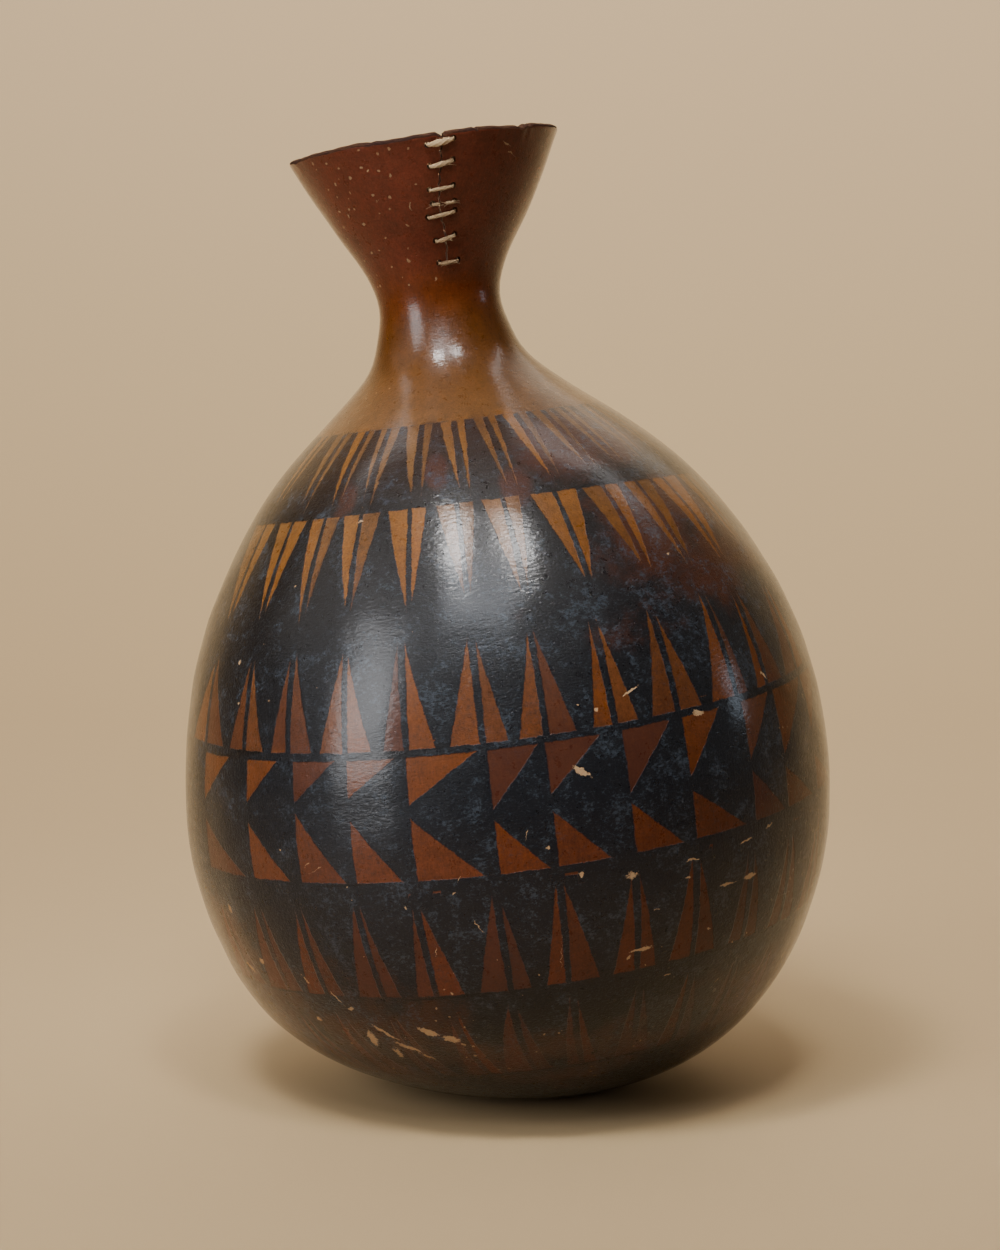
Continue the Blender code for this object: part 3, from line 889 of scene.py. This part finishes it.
def scraped_share(nodes, above, hand, grain):
    """1 on the scraped triangles and above the top band, 0 on the blackened field, with a hand-cut edge."""
    inside = above
    for layer in range(4):
        x, y, z = nodes.split(nodes.attribute(f"triangle_{layer}"))
        nearest_side = nodes.math("MINIMUM", nodes.math("MINIMUM", x, y), z)
        inside = nodes.math("MAXIMUM", inside, nearest_side)
    edge = nodes.added(nodes.added(inside, hand, 0.9), grain, 0.7)
    return nodes.step(edge, -0.16, 0.2)


def rind_colour(nodes, own, above, tint, mottle, blotches, grain):
    """The scraped rind: its colour by height, mottled and streaked, warmer or duller by the triangle."""
    strokes = nodes.noise(own, 0.5, 4.0, 0.7, stretch=(3.0, 3.0, 0.5))
    lighter = nodes.added(1.0, nodes.centred(mottle), 1.0)
    lighter = nodes.added(lighter, nodes.centred(blotches), 0.7)
    lighter = nodes.added(lighter, tint, 0.24)
    lighter = nodes.added(lighter, nodes.centred(strokes), 0.9)
    lighter = nodes.added(lighter, grain, 1.1)
    sockets = {0: nodes.attribute("rind_colour"), "Scale": lighter}
    rind = nodes.add("VectorMath", sockets, operation="SCALE").outputs[0]
    rind = nodes.mix(nodes.step(tint, 0.0, 0.9), rind, "warm tint", "MULTIPLY")
    dull = nodes.step(tint, -0.9, -0.1, 0.65, 0.0)
    dull = nodes.math("MULTIPLY", dull, nodes.step(above, -60.0, -30.0, 1.0, 0.2))
    return nodes.mix(dull, rind, "dull rind")


def field_colour(nodes, own, rubbed, mottle, blotches, hand, grain):
    """The blackened field: rubbed brown in places, dusty, finely speckled with dust and painted glints,
    with a blacker line along the bands' edges.
    """
    brown = nodes.added(nodes.added(rubbed, nodes.centred(blotches), 1.6), grain, 0.5)
    dark = nodes.mix(nodes.step(brown, 0.3, 0.8), nodes.attribute("field_colour"), "rubbed brown")
    dust = nodes.noise(own, 0.8, 4.0, 0.8, stretch=(1.0, 1.0, 1.5))
    patches = nodes.step(nodes.noise(own, 0.09, 3.0, 0.6), 0.42, 0.62, -0.06, 0.1)
    grey = nodes.math("ADD", nodes.added(mottle, dust, 1.5), patches)
    dark = nodes.mix(nodes.step(grey, 1.28, 1.6, 0.0, 0.7), dark, "grey dust")
    # Fine pale bluish speckle drawn along the girth: partly dust, partly painted glints of the polish.
    fine = nodes.noise(own, 1.7, 2.0, 0.7, stretch=(1.0, 1.0, 1.8))
    dark = nodes.mix(nodes.step(fine, 0.56, 0.72, 0.0, 0.5), dark, "fine dust and painted glints")
    beside = nodes.added(nodes.attribute("band_edge", "Fac"), hand, 0.6)
    return nodes.mix(nodes.step(beside, 0.35, 0.7, 0.8, 0.0), dark, "painted line")


def gourd_skin(look):
    """The outside: scraped rind and blackened field, rubbed, scarred and polished by hands."""
    nodes = Nodes("gourd_skin_outside")
    own = nodes.attribute("own_place")
    above, tint, wear = nodes.split(nodes.attribute("band_look"))
    rubbed, side, crack = nodes.split(nodes.attribute("skin_look"))
    hand = nodes.centred(nodes.noise(own, 0.35, 2.0))
    grain = nodes.centred(nodes.noise(own, 1.6, 3.0, 0.7))
    blotches = nodes.noise(own, 0.06, 4.0, 0.62)
    mottle = nodes.noise(own, 0.28, 5.0, 0.7)
    scraped = scraped_share(nodes, above, hand, grain)
    rind = rind_colour(nodes, own, above, tint, mottle, blotches, grain)
    dark = field_colour(nodes, own, rubbed, mottle, blotches, hand, grain)
    # Soot left in the scraped triangles, more where a triangle is worn.
    soot = nodes.added(nodes.math("MULTIPLY", wear, 0.7), nodes.noise(own, 0.7, 5.0, 0.8), 1.15)
    scraped = nodes.math("MULTIPLY", scraped, nodes.step(soot, 0.6, 1.1, 1.0, 0.3))
    colour = nodes.mix(scraped, dark, rind)
    # Dark specks in the polished neck, mixed in most on the right side of the funnel as painted shade
    # there.
    specks = nodes.step(nodes.noise(own, 0.8, 2.0), 0.62, 0.7, 0.0, 0.3)
    colour = nodes.mix(nodes.math("MULTIPLY", specks, side), colour, "dark specks and painted shade")
    marks = scar_mask(nodes, own)
    pale = nodes.mix(nodes.step(grain, -0.3, 0.3), "pale mark", "brown mark")
    colour = nodes.mix(marks, colour, pale)
    crack_edge = nodes.step(nodes.added(crack, grain, 0.3), 0.2, 0.32, 0.35, 0.0)
    colour = nodes.mix(crack_edge, colour, "crack edge")

    # Fine dashes along the girth and finer ones up the gourd, as rubbing leaves them.
    dashes = nodes.noise(own, 0.8, 3.0, 0.65, stretch=(1.0, 1.0, 2.4))
    uprights = nodes.noise(own, 0.9, 3.0, 0.6, stretch=(2.2, 2.2, 0.6))
    relief = nodes.added(dashes, uprights, 0.6)
    relief = nodes.math("MULTIPLY", relief, nodes.step(scraped, 0.0, 1.0, 1.0, 0.55))
    relief = nodes.added(nodes.added(relief, scraped, -0.12), marks, -0.5)
    nodes.bump(relief, look.relief)
    ripples = nodes.noise(own, 0.45, 3.0, 0.6, stretch=(1.0, 1.0, 2.6))
    nodes.bump(ripples, look.ripple, "Coat Normal")
    uneven = nodes.noise(own, 0.4, 4.0, 0.7)
    roughness = nodes.step(uneven, 0.3, 0.75, look.roughness - 0.05, look.roughness + 0.1)
    roughness = nodes.math("MAXIMUM", roughness, nodes.math("MULTIPLY", marks, 0.75))
    for socket, value in COAT.items():
        nodes.shader.inputs[socket].default_value = value
    return nodes.finish(colour, roughness, SKIN_SPECULAR)


def rind_edge():
    """The cut lip, the crack and the holes: bare fibrous rind, darkened by handling."""
    nodes = Nodes("gourd_cut_rind")
    own = nodes.attribute("own_place")
    streaks = nodes.noise(own, 0.7, 5.0, 0.7, stretch=(1.0, 1.0, 2.5))
    stains = nodes.noise(own, 0.16, 3.0)
    colour = nodes.mix(nodes.step(streaks, 0.35, 0.65), "cut rind dark", "cut rind light")
    colour = nodes.mix(nodes.step(stains, 0.42, 0.6), colour, "cut rind stain")
    handled = nodes.step(nodes.split(own)[2], RIM_HEIGHT - 3.0, RIM_HEIGHT - 1.2, 0.0, 0.85)
    colour = nodes.mix(handled, colour, "handled lip")
    nodes.bump(streaks, 0.3)
    return nodes.finish(colour, nodes.step(stains, 0.3, 0.7, 0.85, 0.7), 0.1)


def rind_inside():
    """The inside: dry matt fibres that run up the neck, brown with age."""
    nodes = Nodes("gourd_inside")
    own = nodes.attribute("own_place")
    fibres = nodes.noise(own, 0.9, 5.0, 0.7, stretch=(1.0, 1.0, 0.12))
    stains = nodes.noise(own, 0.05, 3.0)
    colour = nodes.mix(nodes.step(fibres, 0.35, 0.68), "inner fibre dark", "inner fibre light")
    colour = nodes.mix(nodes.step(stains, 0.4, 0.7, 0.0, 0.7), colour, "inner stain")
    nodes.bump(fibres, 0.5)
    return nodes.finish(colour, 0.85, 0.2)


def plant_fibre(look):
    """Dry split fibre: fine streaks along the strand, bleached on the outside and browner in the holes."""
    nodes = Nodes("dry_plant_fibre")
    strand = nodes.attribute("strand_place")
    bleach = nodes.attribute("bleach", "Fac")
    streaks = nodes.noise(strand, 1.0, 5.0, 0.7, stretch=(0.35, 2.6, 2.6))
    blotches = nodes.noise(strand, 0.35, 3.0)
    bright = nodes.added(bleach, nodes.centred(streaks), 2.2)
    bright = nodes.added(bright, nodes.centred(blotches), 0.5)
    colour = nodes.mix(nodes.step(bright, 0.1, 1.0), "strand brown", (*look.colour, 1.0))
    nodes.bump(streaks, 0.12)
    return nodes.finish(colour, 0.82, 0.25)


def line_distance(degrees, height):
    """How far up or down the gourd the nearest painted line beside a band's edge is, in mm."""
    lines = [(BANDS[name][1:4], LINE_BESIDE) for name in LINED_ABOVE]
    lines += [(BANDS[name][1:4], -LINE_BESIDE) for name in LINED_BELOW]
    lines += [(CELL_TOP, -LINE_BESIDE), (CELL_BOTTOM, -LINE_BESIDE)]
    return np.min([np.abs(height - band_line(degrees, *edge) - beside) for edge, beside in lines], 0)


def build_shell(look):
    """Makes the shell's fine surface with its pattern held as distances on its points."""
    grid, own, points, faces, slots = shell_surface()
    materials = (gourd_skin(look), rind_edge(), rind_inside())
    made = mesh_object("gourd_skin_surface", points, faces, slots, materials)
    mesh = made.data
    angle, height = grid["angle"].ravel(), grid["height"].ravel()
    fields, tint_wear = triangle_fields(angle, height)
    for layer, field in enumerate(fields):
        put_attribute(mesh, f"triangle_{layer}", field)
    degrees = np.degrees(angle)
    above = height - band_line(degrees, *BANDS["top"][1:4])
    tint_wear *= np.clip(1 - above / 1.5, 0, 1)[:, None]
    put_attribute(mesh, "band_edge", line_distance(degrees, height), "FLOAT")
    put_attribute(mesh, "band_look", np.column_stack([above, tint_wear]))
    # The right side of the funnel, where dark specks are mixed in as painted shade.
    side = np.clip(0.5 + 0.6 * np.cos(angle), 0, 1) * np.clip((height - 240) / 20, 0, 1)
    middle, _ = crack_place(height)
    crack_mm = np.abs(np.radians(around(angle, np.degrees(middle)))) * profile(height)[0]
    crack_mm = crack_mm + np.clip(CRACK_FOOT + 3 - height, 0, 50) * 2
    put_attribute(mesh, "skin_look", np.column_stack([rubbed_share(angle, height), side, crack_mm]))
    put_attribute(mesh, "own_place", own.reshape(-1, 3))
    left_of_crack = np.exp(-((around(angle, -125.0) / 38.0) ** 2))
    funnel = np.clip((height - 245) / 20, 0, 1)
    low = np.clip((110 - height) / 60, 0, 1)
    put_attribute(mesh, "pitted", funnel * (0.3 + left_of_crack) + 0.45 * low, "FLOAT")
    rind = colour_by_height(RIND_COLOURS, height)
    # Painted shade on the rind towards the right side, fading out from 230 mm to 260 mm up.
    right = np.clip(0.15 + 1.1 * np.cos(angle), 0, 1) * np.clip((260 - height) / 30, 0.0, 1)
    put_attribute(mesh, "rind_colour", rind * (1 - right[:, None] * RIGHT_SIDE_PAINTED_SHADE) * np.array(look.tone))
    put_attribute(mesh, "field_colour", colour_by_height(FIELD_COLOURS, height))
    turn_outwards(made, 40)
    return made


def rounded(path, times=1):
    """The path with its corners cut: each pass puts two points a quarter of the way into every stretch."""
    for _ in range(times):
        ahead, behind = path[1:], path[:-1]
        quarters = np.stack([0.75 * behind + 0.25 * ahead, 0.25 * behind + 0.75 * ahead], 1)
        path = np.concatenate([path[:1], quarters.reshape(-1, path.shape[1]), path[-1:]])
    return path


def across(start, end, thickness, depth_sign, wide=1.0, bleach=0.3):
    """A run from hole to hole, outside (-1) or inside (1).

    Its rows are angle, height, depth, radius, width for its radius, and bleach.
    """
    start, end = np.array(start, float), np.array(end, float)
    girth = profile((start[1] + end[1]) / 2)[0]
    length = np.hypot((end[0] - start[0]) * girth, end[1] - start[1])
    shares = np.array([0, CORNER / length, 0.3, 0.5, 0.7, 1 - CORNER / length, 1])
    swell = np.array([0, 0.6, 0.9, 1, 0.9, 0.6, 0])
    radii = STRAND_RADIUS + (thickness - STRAND_RADIUS) * swell
    base = wall(start[1]) if depth_sign > 0 else 0.0
    depths = base + depth_sign * (STRAND_GAP + radii)
    places = start + shares[:, None] * (end - start)
    return np.column_stack([places, depths, radii, 1 + (wide - 1) * swell, np.full(7, bleach)])


def through(hole, inwards):
    """The straight run inside a hole."""
    middle = wall(hole[1]) / 2
    depths = (middle - 1.0, middle + 1.0) if inwards else (middle + 1.0, middle - 1.0)
    return np.array([(hole[0], hole[1], depth, STRAND_RADIUS, 1.0, 0.2) for depth in depths])


def tail(hole, turn, drop):
    """A loose end inside the wall with a small knot in it, listed from the hole outwards."""
    girth = profile(hole[1])[0]
    rows = []
    for share, radius in TAIL_RADII:
        run = TAIL_LENGTH * share
        depth = wall(hole[1]) + STRAND_GAP + max(radius, KNOT_RADIUS * (share > KNOT_STARTS_AT))
        rows.append((hole[0] + turn * run / girth, hole[1] - drop * run, depth, radius, 1.0, 0.3))
    return np.array(rows)


def stub(hole, end_degrees, bleach):
    """A worn-through end outside the wall, listed from the hole outwards."""
    end = radians(end_degrees)
    rows = []
    for share, radius in STUB_RADII:
        rows.append(
            (hole[0] + share * (end - hole[0]), hole[1], -STRAND_GAP - radius, radius, 1.05, bleach)
        )
    return np.array(rows)


def laced(stitches):
    """Runs of one strand that crosses outside, left to right, and comes back inside to the next stitch."""
    runs = []
    for number, (left, left_height, right, right_height, thickness, wide, bleach) in enumerate(stitches):
        start = (radians(left), left_height)
        end = (radians(right), right_height)
        runs += [through(start, inwards=False), across(start, end, thickness, -1, wide, bleach)]
        runs.append(through(end, inwards=True))
        if number + 1 < len(stitches):
            following = stitches[number + 1]
            runs.append(across(end, (radians(following[0]), following[1]), STRAND_RADIUS, 1))
    return runs


def upper_runs():
    """From a knotted tail inside the rim to the left stub of the broken stitch."""
    whole, broken = STITCHES[:BROKEN_STITCH], STITCHES[BROKEN_STITCH]
    first = (radians(whole[0][0]), whole[0][1])
    last = (radians(whole[-1][2]), whole[-1][3])
    hole = (radians(broken[0]), broken[1])
    runs = [tail(first, **UPPER_TAIL)[::-1], *laced(whole), across(last, hole, STRAND_RADIUS, 1)]
    return runs + [through(hole, inwards=False), stub(hole, LEFT_STUB_END, broken[6])]


def lower_runs():
    """From the right stub of the broken stitch to a knotted tail inside the neck."""
    whole, broken = STITCHES[BROKEN_STITCH + 1 :], STITCHES[BROKEN_STITCH]
    hole = (radians(broken[2]), broken[3])
    first = (radians(whole[0][0]), whole[0][1])
    last = (radians(whole[-1][2]), whole[-1][3])
    runs = [stub(hole, RIGHT_STUB_END, broken[6])[::-1], through(hole, inwards=True)]
    return runs + [across(hole, first, STRAND_RADIUS, 1), *laced(whole), tail(last, **LOWER_TAIL)]


def tube(centre, radius, wide, sides, flat=0.6, groove=0.17):
    """A grooved oval tube along a path, closed at both ends.

    Section point = wide r (1 + g sin 5t + g/2 sin 9t) cos t along the gourd's axis and flat r (...) sin t
    square to it, with the grooves turning slowly along the path, so that they read as twisted fibres.
    """
    ahead = np.gradient(centre, axis=0)
    ahead /= np.linalg.norm(ahead, axis=1)[:, None]
    axis = np.array([-sin(LEAN_LEFT), 0.0, cos(LEAN_LEFT)])
    upwards = axis - (ahead @ axis)[:, None] * ahead
    upwards /= np.linalg.norm(upwards, axis=1)[:, None]
    outwards = np.cross(ahead, upwards)
    along = np.concatenate([[0], np.cumsum(np.linalg.norm(np.diff(centre, axis=0), axis=1))]) / MM
    turn = np.linspace(0, 2 * pi, sides, endpoint=False)
    twist = turn[None, :] + 0.5 * along[:, None]
    bundle = 1 + groove * np.sin(5 * twist) + 0.5 * groove * np.sin(9 * twist + 1.0)
    spread = (radius * MM)[:, None] * bundle
    points = (
        centre[:, None, :]
        + (spread * wide[:, None] * np.cos(turn))[..., None] * upwards[:, None, :]
        + (spread * flat * np.sin(turn))[..., None] * outwards[:, None, :]
    )
    index = np.arange(len(centre) * sides).reshape(len(centre), sides)
    beside = np.roll(index, -1, 1)
    quads = np.stack([index[:-1], beside[:-1], beside[1:], index[1:]], -1).reshape(-1, 4)
    faces = quads.tolist() + [index[0][::-1].tolist(), index[-1].tolist()]
    place = np.stack(np.broadcast_arrays(along[:, None], np.cos(turn), np.sin(turn)), -1)
    return points.reshape(-1, 3), faces, place.reshape(-1, 3)


def strand(runs):
    """The main bundle of a lacing: its corners rounded twice, then evenly spaced points."""
    path = rounded(np.concatenate(runs), times=2)
    centre = skin(path[:, 0], path[:, 1], path[:, 2])
    along = np.concatenate([[0], np.cumsum(np.linalg.norm(np.diff(centre, axis=0), axis=1))]) / MM
    places = np.linspace(0, along[-1], int(along[-1] / STRAND_STEP))
    return np.stack([np.interp(places, along, path[:, i]) for i in range(path.shape[1])], -1)


def loose_hairs(rng, runs, count):
    """Short fibres that stand off the crossings: a straight start along the strand, then a lifted curl."""
    outside = [run for run in runs if run[:, 2].max() < 0]
    hairs = []
    for _ in range(count):
        run = outside[rng.integers(len(outside))]
        share = rng.uniform(0.15, 0.85)
        place = share * (len(run) - 1)
        here = np.array([np.interp(place, np.arange(len(run)), run[:, i]) for i in range(4)])
        length = rng.uniform(1.2, 3.2) * rng.choice((-1, 1))
        step = np.linspace(0, 1, 9)
        girth = profile(here[1])[0]
        angle = here[0] + step * length / girth
        height = here[1] + here[3] * rng.uniform(-0.8, 0.8) + rng.uniform(-0.9, 0.9) * step**2
        depth = here[2] - here[3] * 0.6 - rng.uniform(0.1, 0.6) * step**2
        hairs.append(skin(angle, height, depth))
    return hairs


def build_lacing(name, node, runs, hair_count, finish):
    """One lacing: its grooved strand and its loose hairs in one piece, in place of the plain tube."""
    rng = np.random.default_rng(HAIR_SEED + hair_count)
    path = strand(runs)
    centre = skin(path[:, 0], path[:, 1], path[:, 2])
    parts = [(*tube(centre, path[:, 3], path[:, 4], STRAND_SIDES), path[:, 5])]
    for hair in loose_hairs(rng, runs, hair_count):
        thin = 0.07 * (1 - 0.6 * np.linspace(0, 1, len(hair)))
        parts.append((*tube(hair, thin, np.ones(len(hair)), 5, 1.0, 0.0), np.full(len(hair), 0.9)))
    points, faces, places, bleached = [], [], [], []
    start = 0
    for part_points, part_faces, place, bleach in parts:
        points.append(part_points)
        faces += [[start + corner for corner in face] for face in part_faces]
        places.append(place)
        bleached.append(np.repeat(bleach, len(part_points) // len(bleach)))
        start += len(part_points)
    made = mesh_object(name, np.concatenate(points), faces, np.zeros(len(faces)), (finish,))
    put_attribute(made.data, "strand_place", np.concatenate(places))
    put_attribute(made.data, "bleach", np.concatenate(bleached), "FLOAT")
    turn_outwards(made, 60)
    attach(made, "root")
    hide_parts(node)
    return made


def area_lamp(name, width, height, watts):
    """A rectangular area light, still to be placed and turned."""
    light = bpy.data.lights.new(name, "AREA")
    light.shape = "RECTANGLE"
    light.size = width
    light.size_y = height
    light.energy = watts
    lamp = bpy.data.objects.new(name, light)
    bpy.context.scene.collection.objects.link(lamp)
    return lamp


def build_floor(stage):
    """A flat floor that bends up a quarter circle into a wall behind, all of one plain colour."""
    size = stage.floor_size
    turn = np.linspace(0, pi / 2, 25)
    back = np.concatenate([[-size], WALL_PLACE - WALL_BEND + WALL_BEND * np.sin(turn), [WALL_PLACE]])
    rise = np.concatenate([[0.0], WALL_BEND * (1 - np.cos(turn)), [WALL_TOP]])
    side = np.linspace(-size, size, 3)
    points = np.stack(np.broadcast_arrays(side[None, :], back[:, None], rise[:, None]), -1)
    index = np.arange(len(back) * len(side)).reshape(len(back), len(side))
    faces = np.stack([index[:-1, :-1], index[:-1, 1:], index[1:, 1:], index[1:, :-1]], -1).reshape(-1, 4)
    finish = Nodes("plain_floor").finish((*stage.floor_colour, 1.0), 0.6, 0.2)
    floor = mesh_object("floor", points, faces.tolist(), np.zeros(len(faces)), (finish,))


def build_lights(stage):
    """The soft light from all round, the window's panes, the large soft lights and the wall's lamp."""
    world = bpy.data.worlds.new("soft_surround")
    world.use_nodes = True
    surround = world.node_tree.nodes["Background"]
    surround.inputs["Color"].default_value = (*stage.surround_colour, 1.0)
    surround.inputs["Strength"].default_value = stage.surround_strength
    bpy.context.scene.world = world
    for name, (turn, rise, distance, width, height, power, share, spread, colour) in LIGHTS.items():
        lamp = area_lamp(name, width, height, getattr(stage, power) * share)
        lamp.data.color = colour
        lamp.data.spread = radians(spread)
        turn, rise = radians(turn), radians(rise)
        direction = Vector((sin(turn) * cos(rise), -cos(turn) * cos(rise), sin(rise)))
        lamp.location = Vector(LIGHT_AIM) * MM + direction * distance
        lamp.rotation_euler = direction.to_track_quat("Z", "Y").to_euler()
    place, tilt, (width, height), share = WALL_LAMP
    lamp = area_lamp("wall_lamp", width, height, stage.soft_power * share)
    lamp.location = place
    lamp.rotation_euler = (radians(tilt), 0, 0)


def build_camera(stage):
    """The camera where the photograph was taken from."""
    lens = bpy.data.cameras.new("camera")
    lens.lens = stage.camera_lens
    camera = bpy.data.objects.new("camera", lens)
    camera.location = Vector(CAMERA_PLACE) * MM
    camera.rotation_euler = (radians(CAMERA_TILT), 0, 0)
    bpy.context.scene.collection.objects.link(camera)
    bpy.context.scene.camera = camera


class GourdSkinLook(bpy.types.PropertyGroup):
    """What a user would change on the gourd's skin."""

    tone: bpy.props.FloatVectorProperty(
        name="Rind tone", description="Multiplies the colours of the scraped rind", subtype="COLOR",
        size=3, default=(1.0, 1.0, 1.0), min=0.0, soft_max=2.0,
    )
    roughness: bpy.props.FloatProperty(
        name="Roughness", description="Roughness of the hand-polished skin", subtype="FACTOR",
        default=0.31, min=0.05, max=1.0,
    )
    relief: bpy.props.FloatProperty(
        name="Relief", description="Depth of the skin's fine grain in millimetres",
        default=0.22, min=0.0, max=2.0,
    )
    ripple: bpy.props.FloatProperty(
        name="Ripple", description="Depth of the ripples in the polish in millimetres",
        default=0.1, min=0.0, max=1.0,
    )


class LacingLook(bpy.types.PropertyGroup):
    """What a user would change on the lacing."""

    colour: bpy.props.FloatVectorProperty(
        name="Fibre colour", description="Colour of the bleached fibre", subtype="COLOR",
        size=3, default=rgb((150, 126, 94)), min=0.0, max=1.0,
    )
    hairs: bpy.props.IntProperty(
        name="Loose hairs", description="How many fibres stand off each lacing", default=14, min=0, max=100,
    )


class StageLook(bpy.types.PropertyGroup):
    """The floor, the surround, the lights and the camera's lens."""

    floor_size: bpy.props.FloatProperty(
        name="Floor", description="Half the side of the floor", default=6.0, unit="LENGTH", min=0.5,
    )
    floor_colour: bpy.props.FloatVectorProperty(
        name="Floor colour", description="Plain pale floor", subtype="COLOR", size=3,
        default=rgb((162, 138, 103)), min=0.0, max=1.0,
    )
    surround_colour: bpy.props.FloatVectorProperty(
        name="Surround colour", description="Colour of the light from all round", subtype="COLOR", size=3,
        default=rgb((205, 180, 146)), min=0.0, max=1.0,
    )
    surround_strength: bpy.props.FloatProperty(
        name="Surround strength", description="Brightness of the light from all round",
        default=0.22, min=0.0,
    )
    window_power: bpy.props.FloatProperty(
        name="Window", description="Power of the window panes in watts", default=3.2, min=0.0,
    )
    soft_power: bpy.props.FloatProperty(
        name="Soft lights", description="Power of the large soft lights in watts", default=2.8, min=0.0,
    )
    camera_lens: bpy.props.FloatProperty(
        name="Lens", description="Focal length of the camera in millimetres", default=CAMERA_LENS, min=10.0,
    )


class GourdLook(bpy.types.PropertyGroup):
    """All the settings of this add-on."""

    skin: bpy.props.PointerProperty(type=GourdSkinLook, name="Skin")
    lacing: bpy.props.PointerProperty(type=LacingLook, name="Lacing")
    stage: bpy.props.PointerProperty(type=StageLook, name="Stage")


class GOURD_OT_skin(bpy.types.Operator):
    """Build the gourd's outside, lip, crack, holes and inside as one surface"""

    bl_idname = "gourd.skin"
    bl_label = "Gourd skin"

    def execute(self, context):
        made = build_shell(context.scene.gourd_look.skin)
        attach(made, "root")
        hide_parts("gourd_shell")
        return {"FINISHED"}


class GOURD_OT_lacing(bpy.types.Operator):
    """Build both lengths of the plant-fibre lacing with their loose hairs"""

    bl_idname = "gourd.lacing"
    bl_label = "Lacing"

    def execute(self, context):
        look = context.scene.gourd_look.lacing
        finish = plant_fibre(look)
        build_lacing("lacing_upper_strand", "lacing_upper", upper_runs(), look.hairs, finish)
        build_lacing("lacing_lower_strand", "lacing_lower", lower_runs(), look.hairs + 1, finish)
        return {"FINISHED"}


class GOURD_OT_stage(bpy.types.Operator):
    """Set up the plain floor, the soft light and the camera"""

    bl_idname = "gourd.stage"
    bl_label = "Stage"

    def execute(self, context):
        for build in (build_floor, build_lights, build_camera):
            build(context.scene.gourd_look.stage)
        return {"FINISHED"}


class GOURD_PT_panel(bpy.types.Panel):
    """Lists the operators and the settings of each"""

    bl_idname = "GOURD_PT_panel"
    bl_label = "Dried Bottle Gourd"
    bl_space_type = "VIEW_3D"
    bl_region_type = "UI"
    bl_category = "Gourd"

    def draw(self, context):
        look = context.scene.gourd_look
        for piece in ("stage", "skin", "lacing"):
            box = self.layout.box()
            box.operator(f"gourd.{piece}")
            group = getattr(look, piece)
            for name in group.__annotations__:
                box.prop(group, name)


CLASSES = (
    GourdSkinLook, LacingLook, StageLook, GourdLook,
    GOURD_OT_skin, GOURD_OT_lacing, GOURD_OT_stage, GOURD_PT_panel,
)


def register():
    """Registers the classes and puts the settings on the scene."""
    for group in CLASSES:
        bpy.utils.register_class(group)
    bpy.types.Scene.gourd_look = bpy.props.PointerProperty(type=GourdLook)


def unregister():
    """Takes away what register added."""
    del bpy.types.Scene.gourd_look
    for group in reversed(CLASSES):
        bpy.utils.unregister_class(group)


def main():
    """Builds the stage and the pieces."""
    register()
    bpy.ops.gourd.stage()
    bpy.ops.gourd.skin()
    bpy.ops.gourd.lacing()


if __name__ == "__main__":
    main()
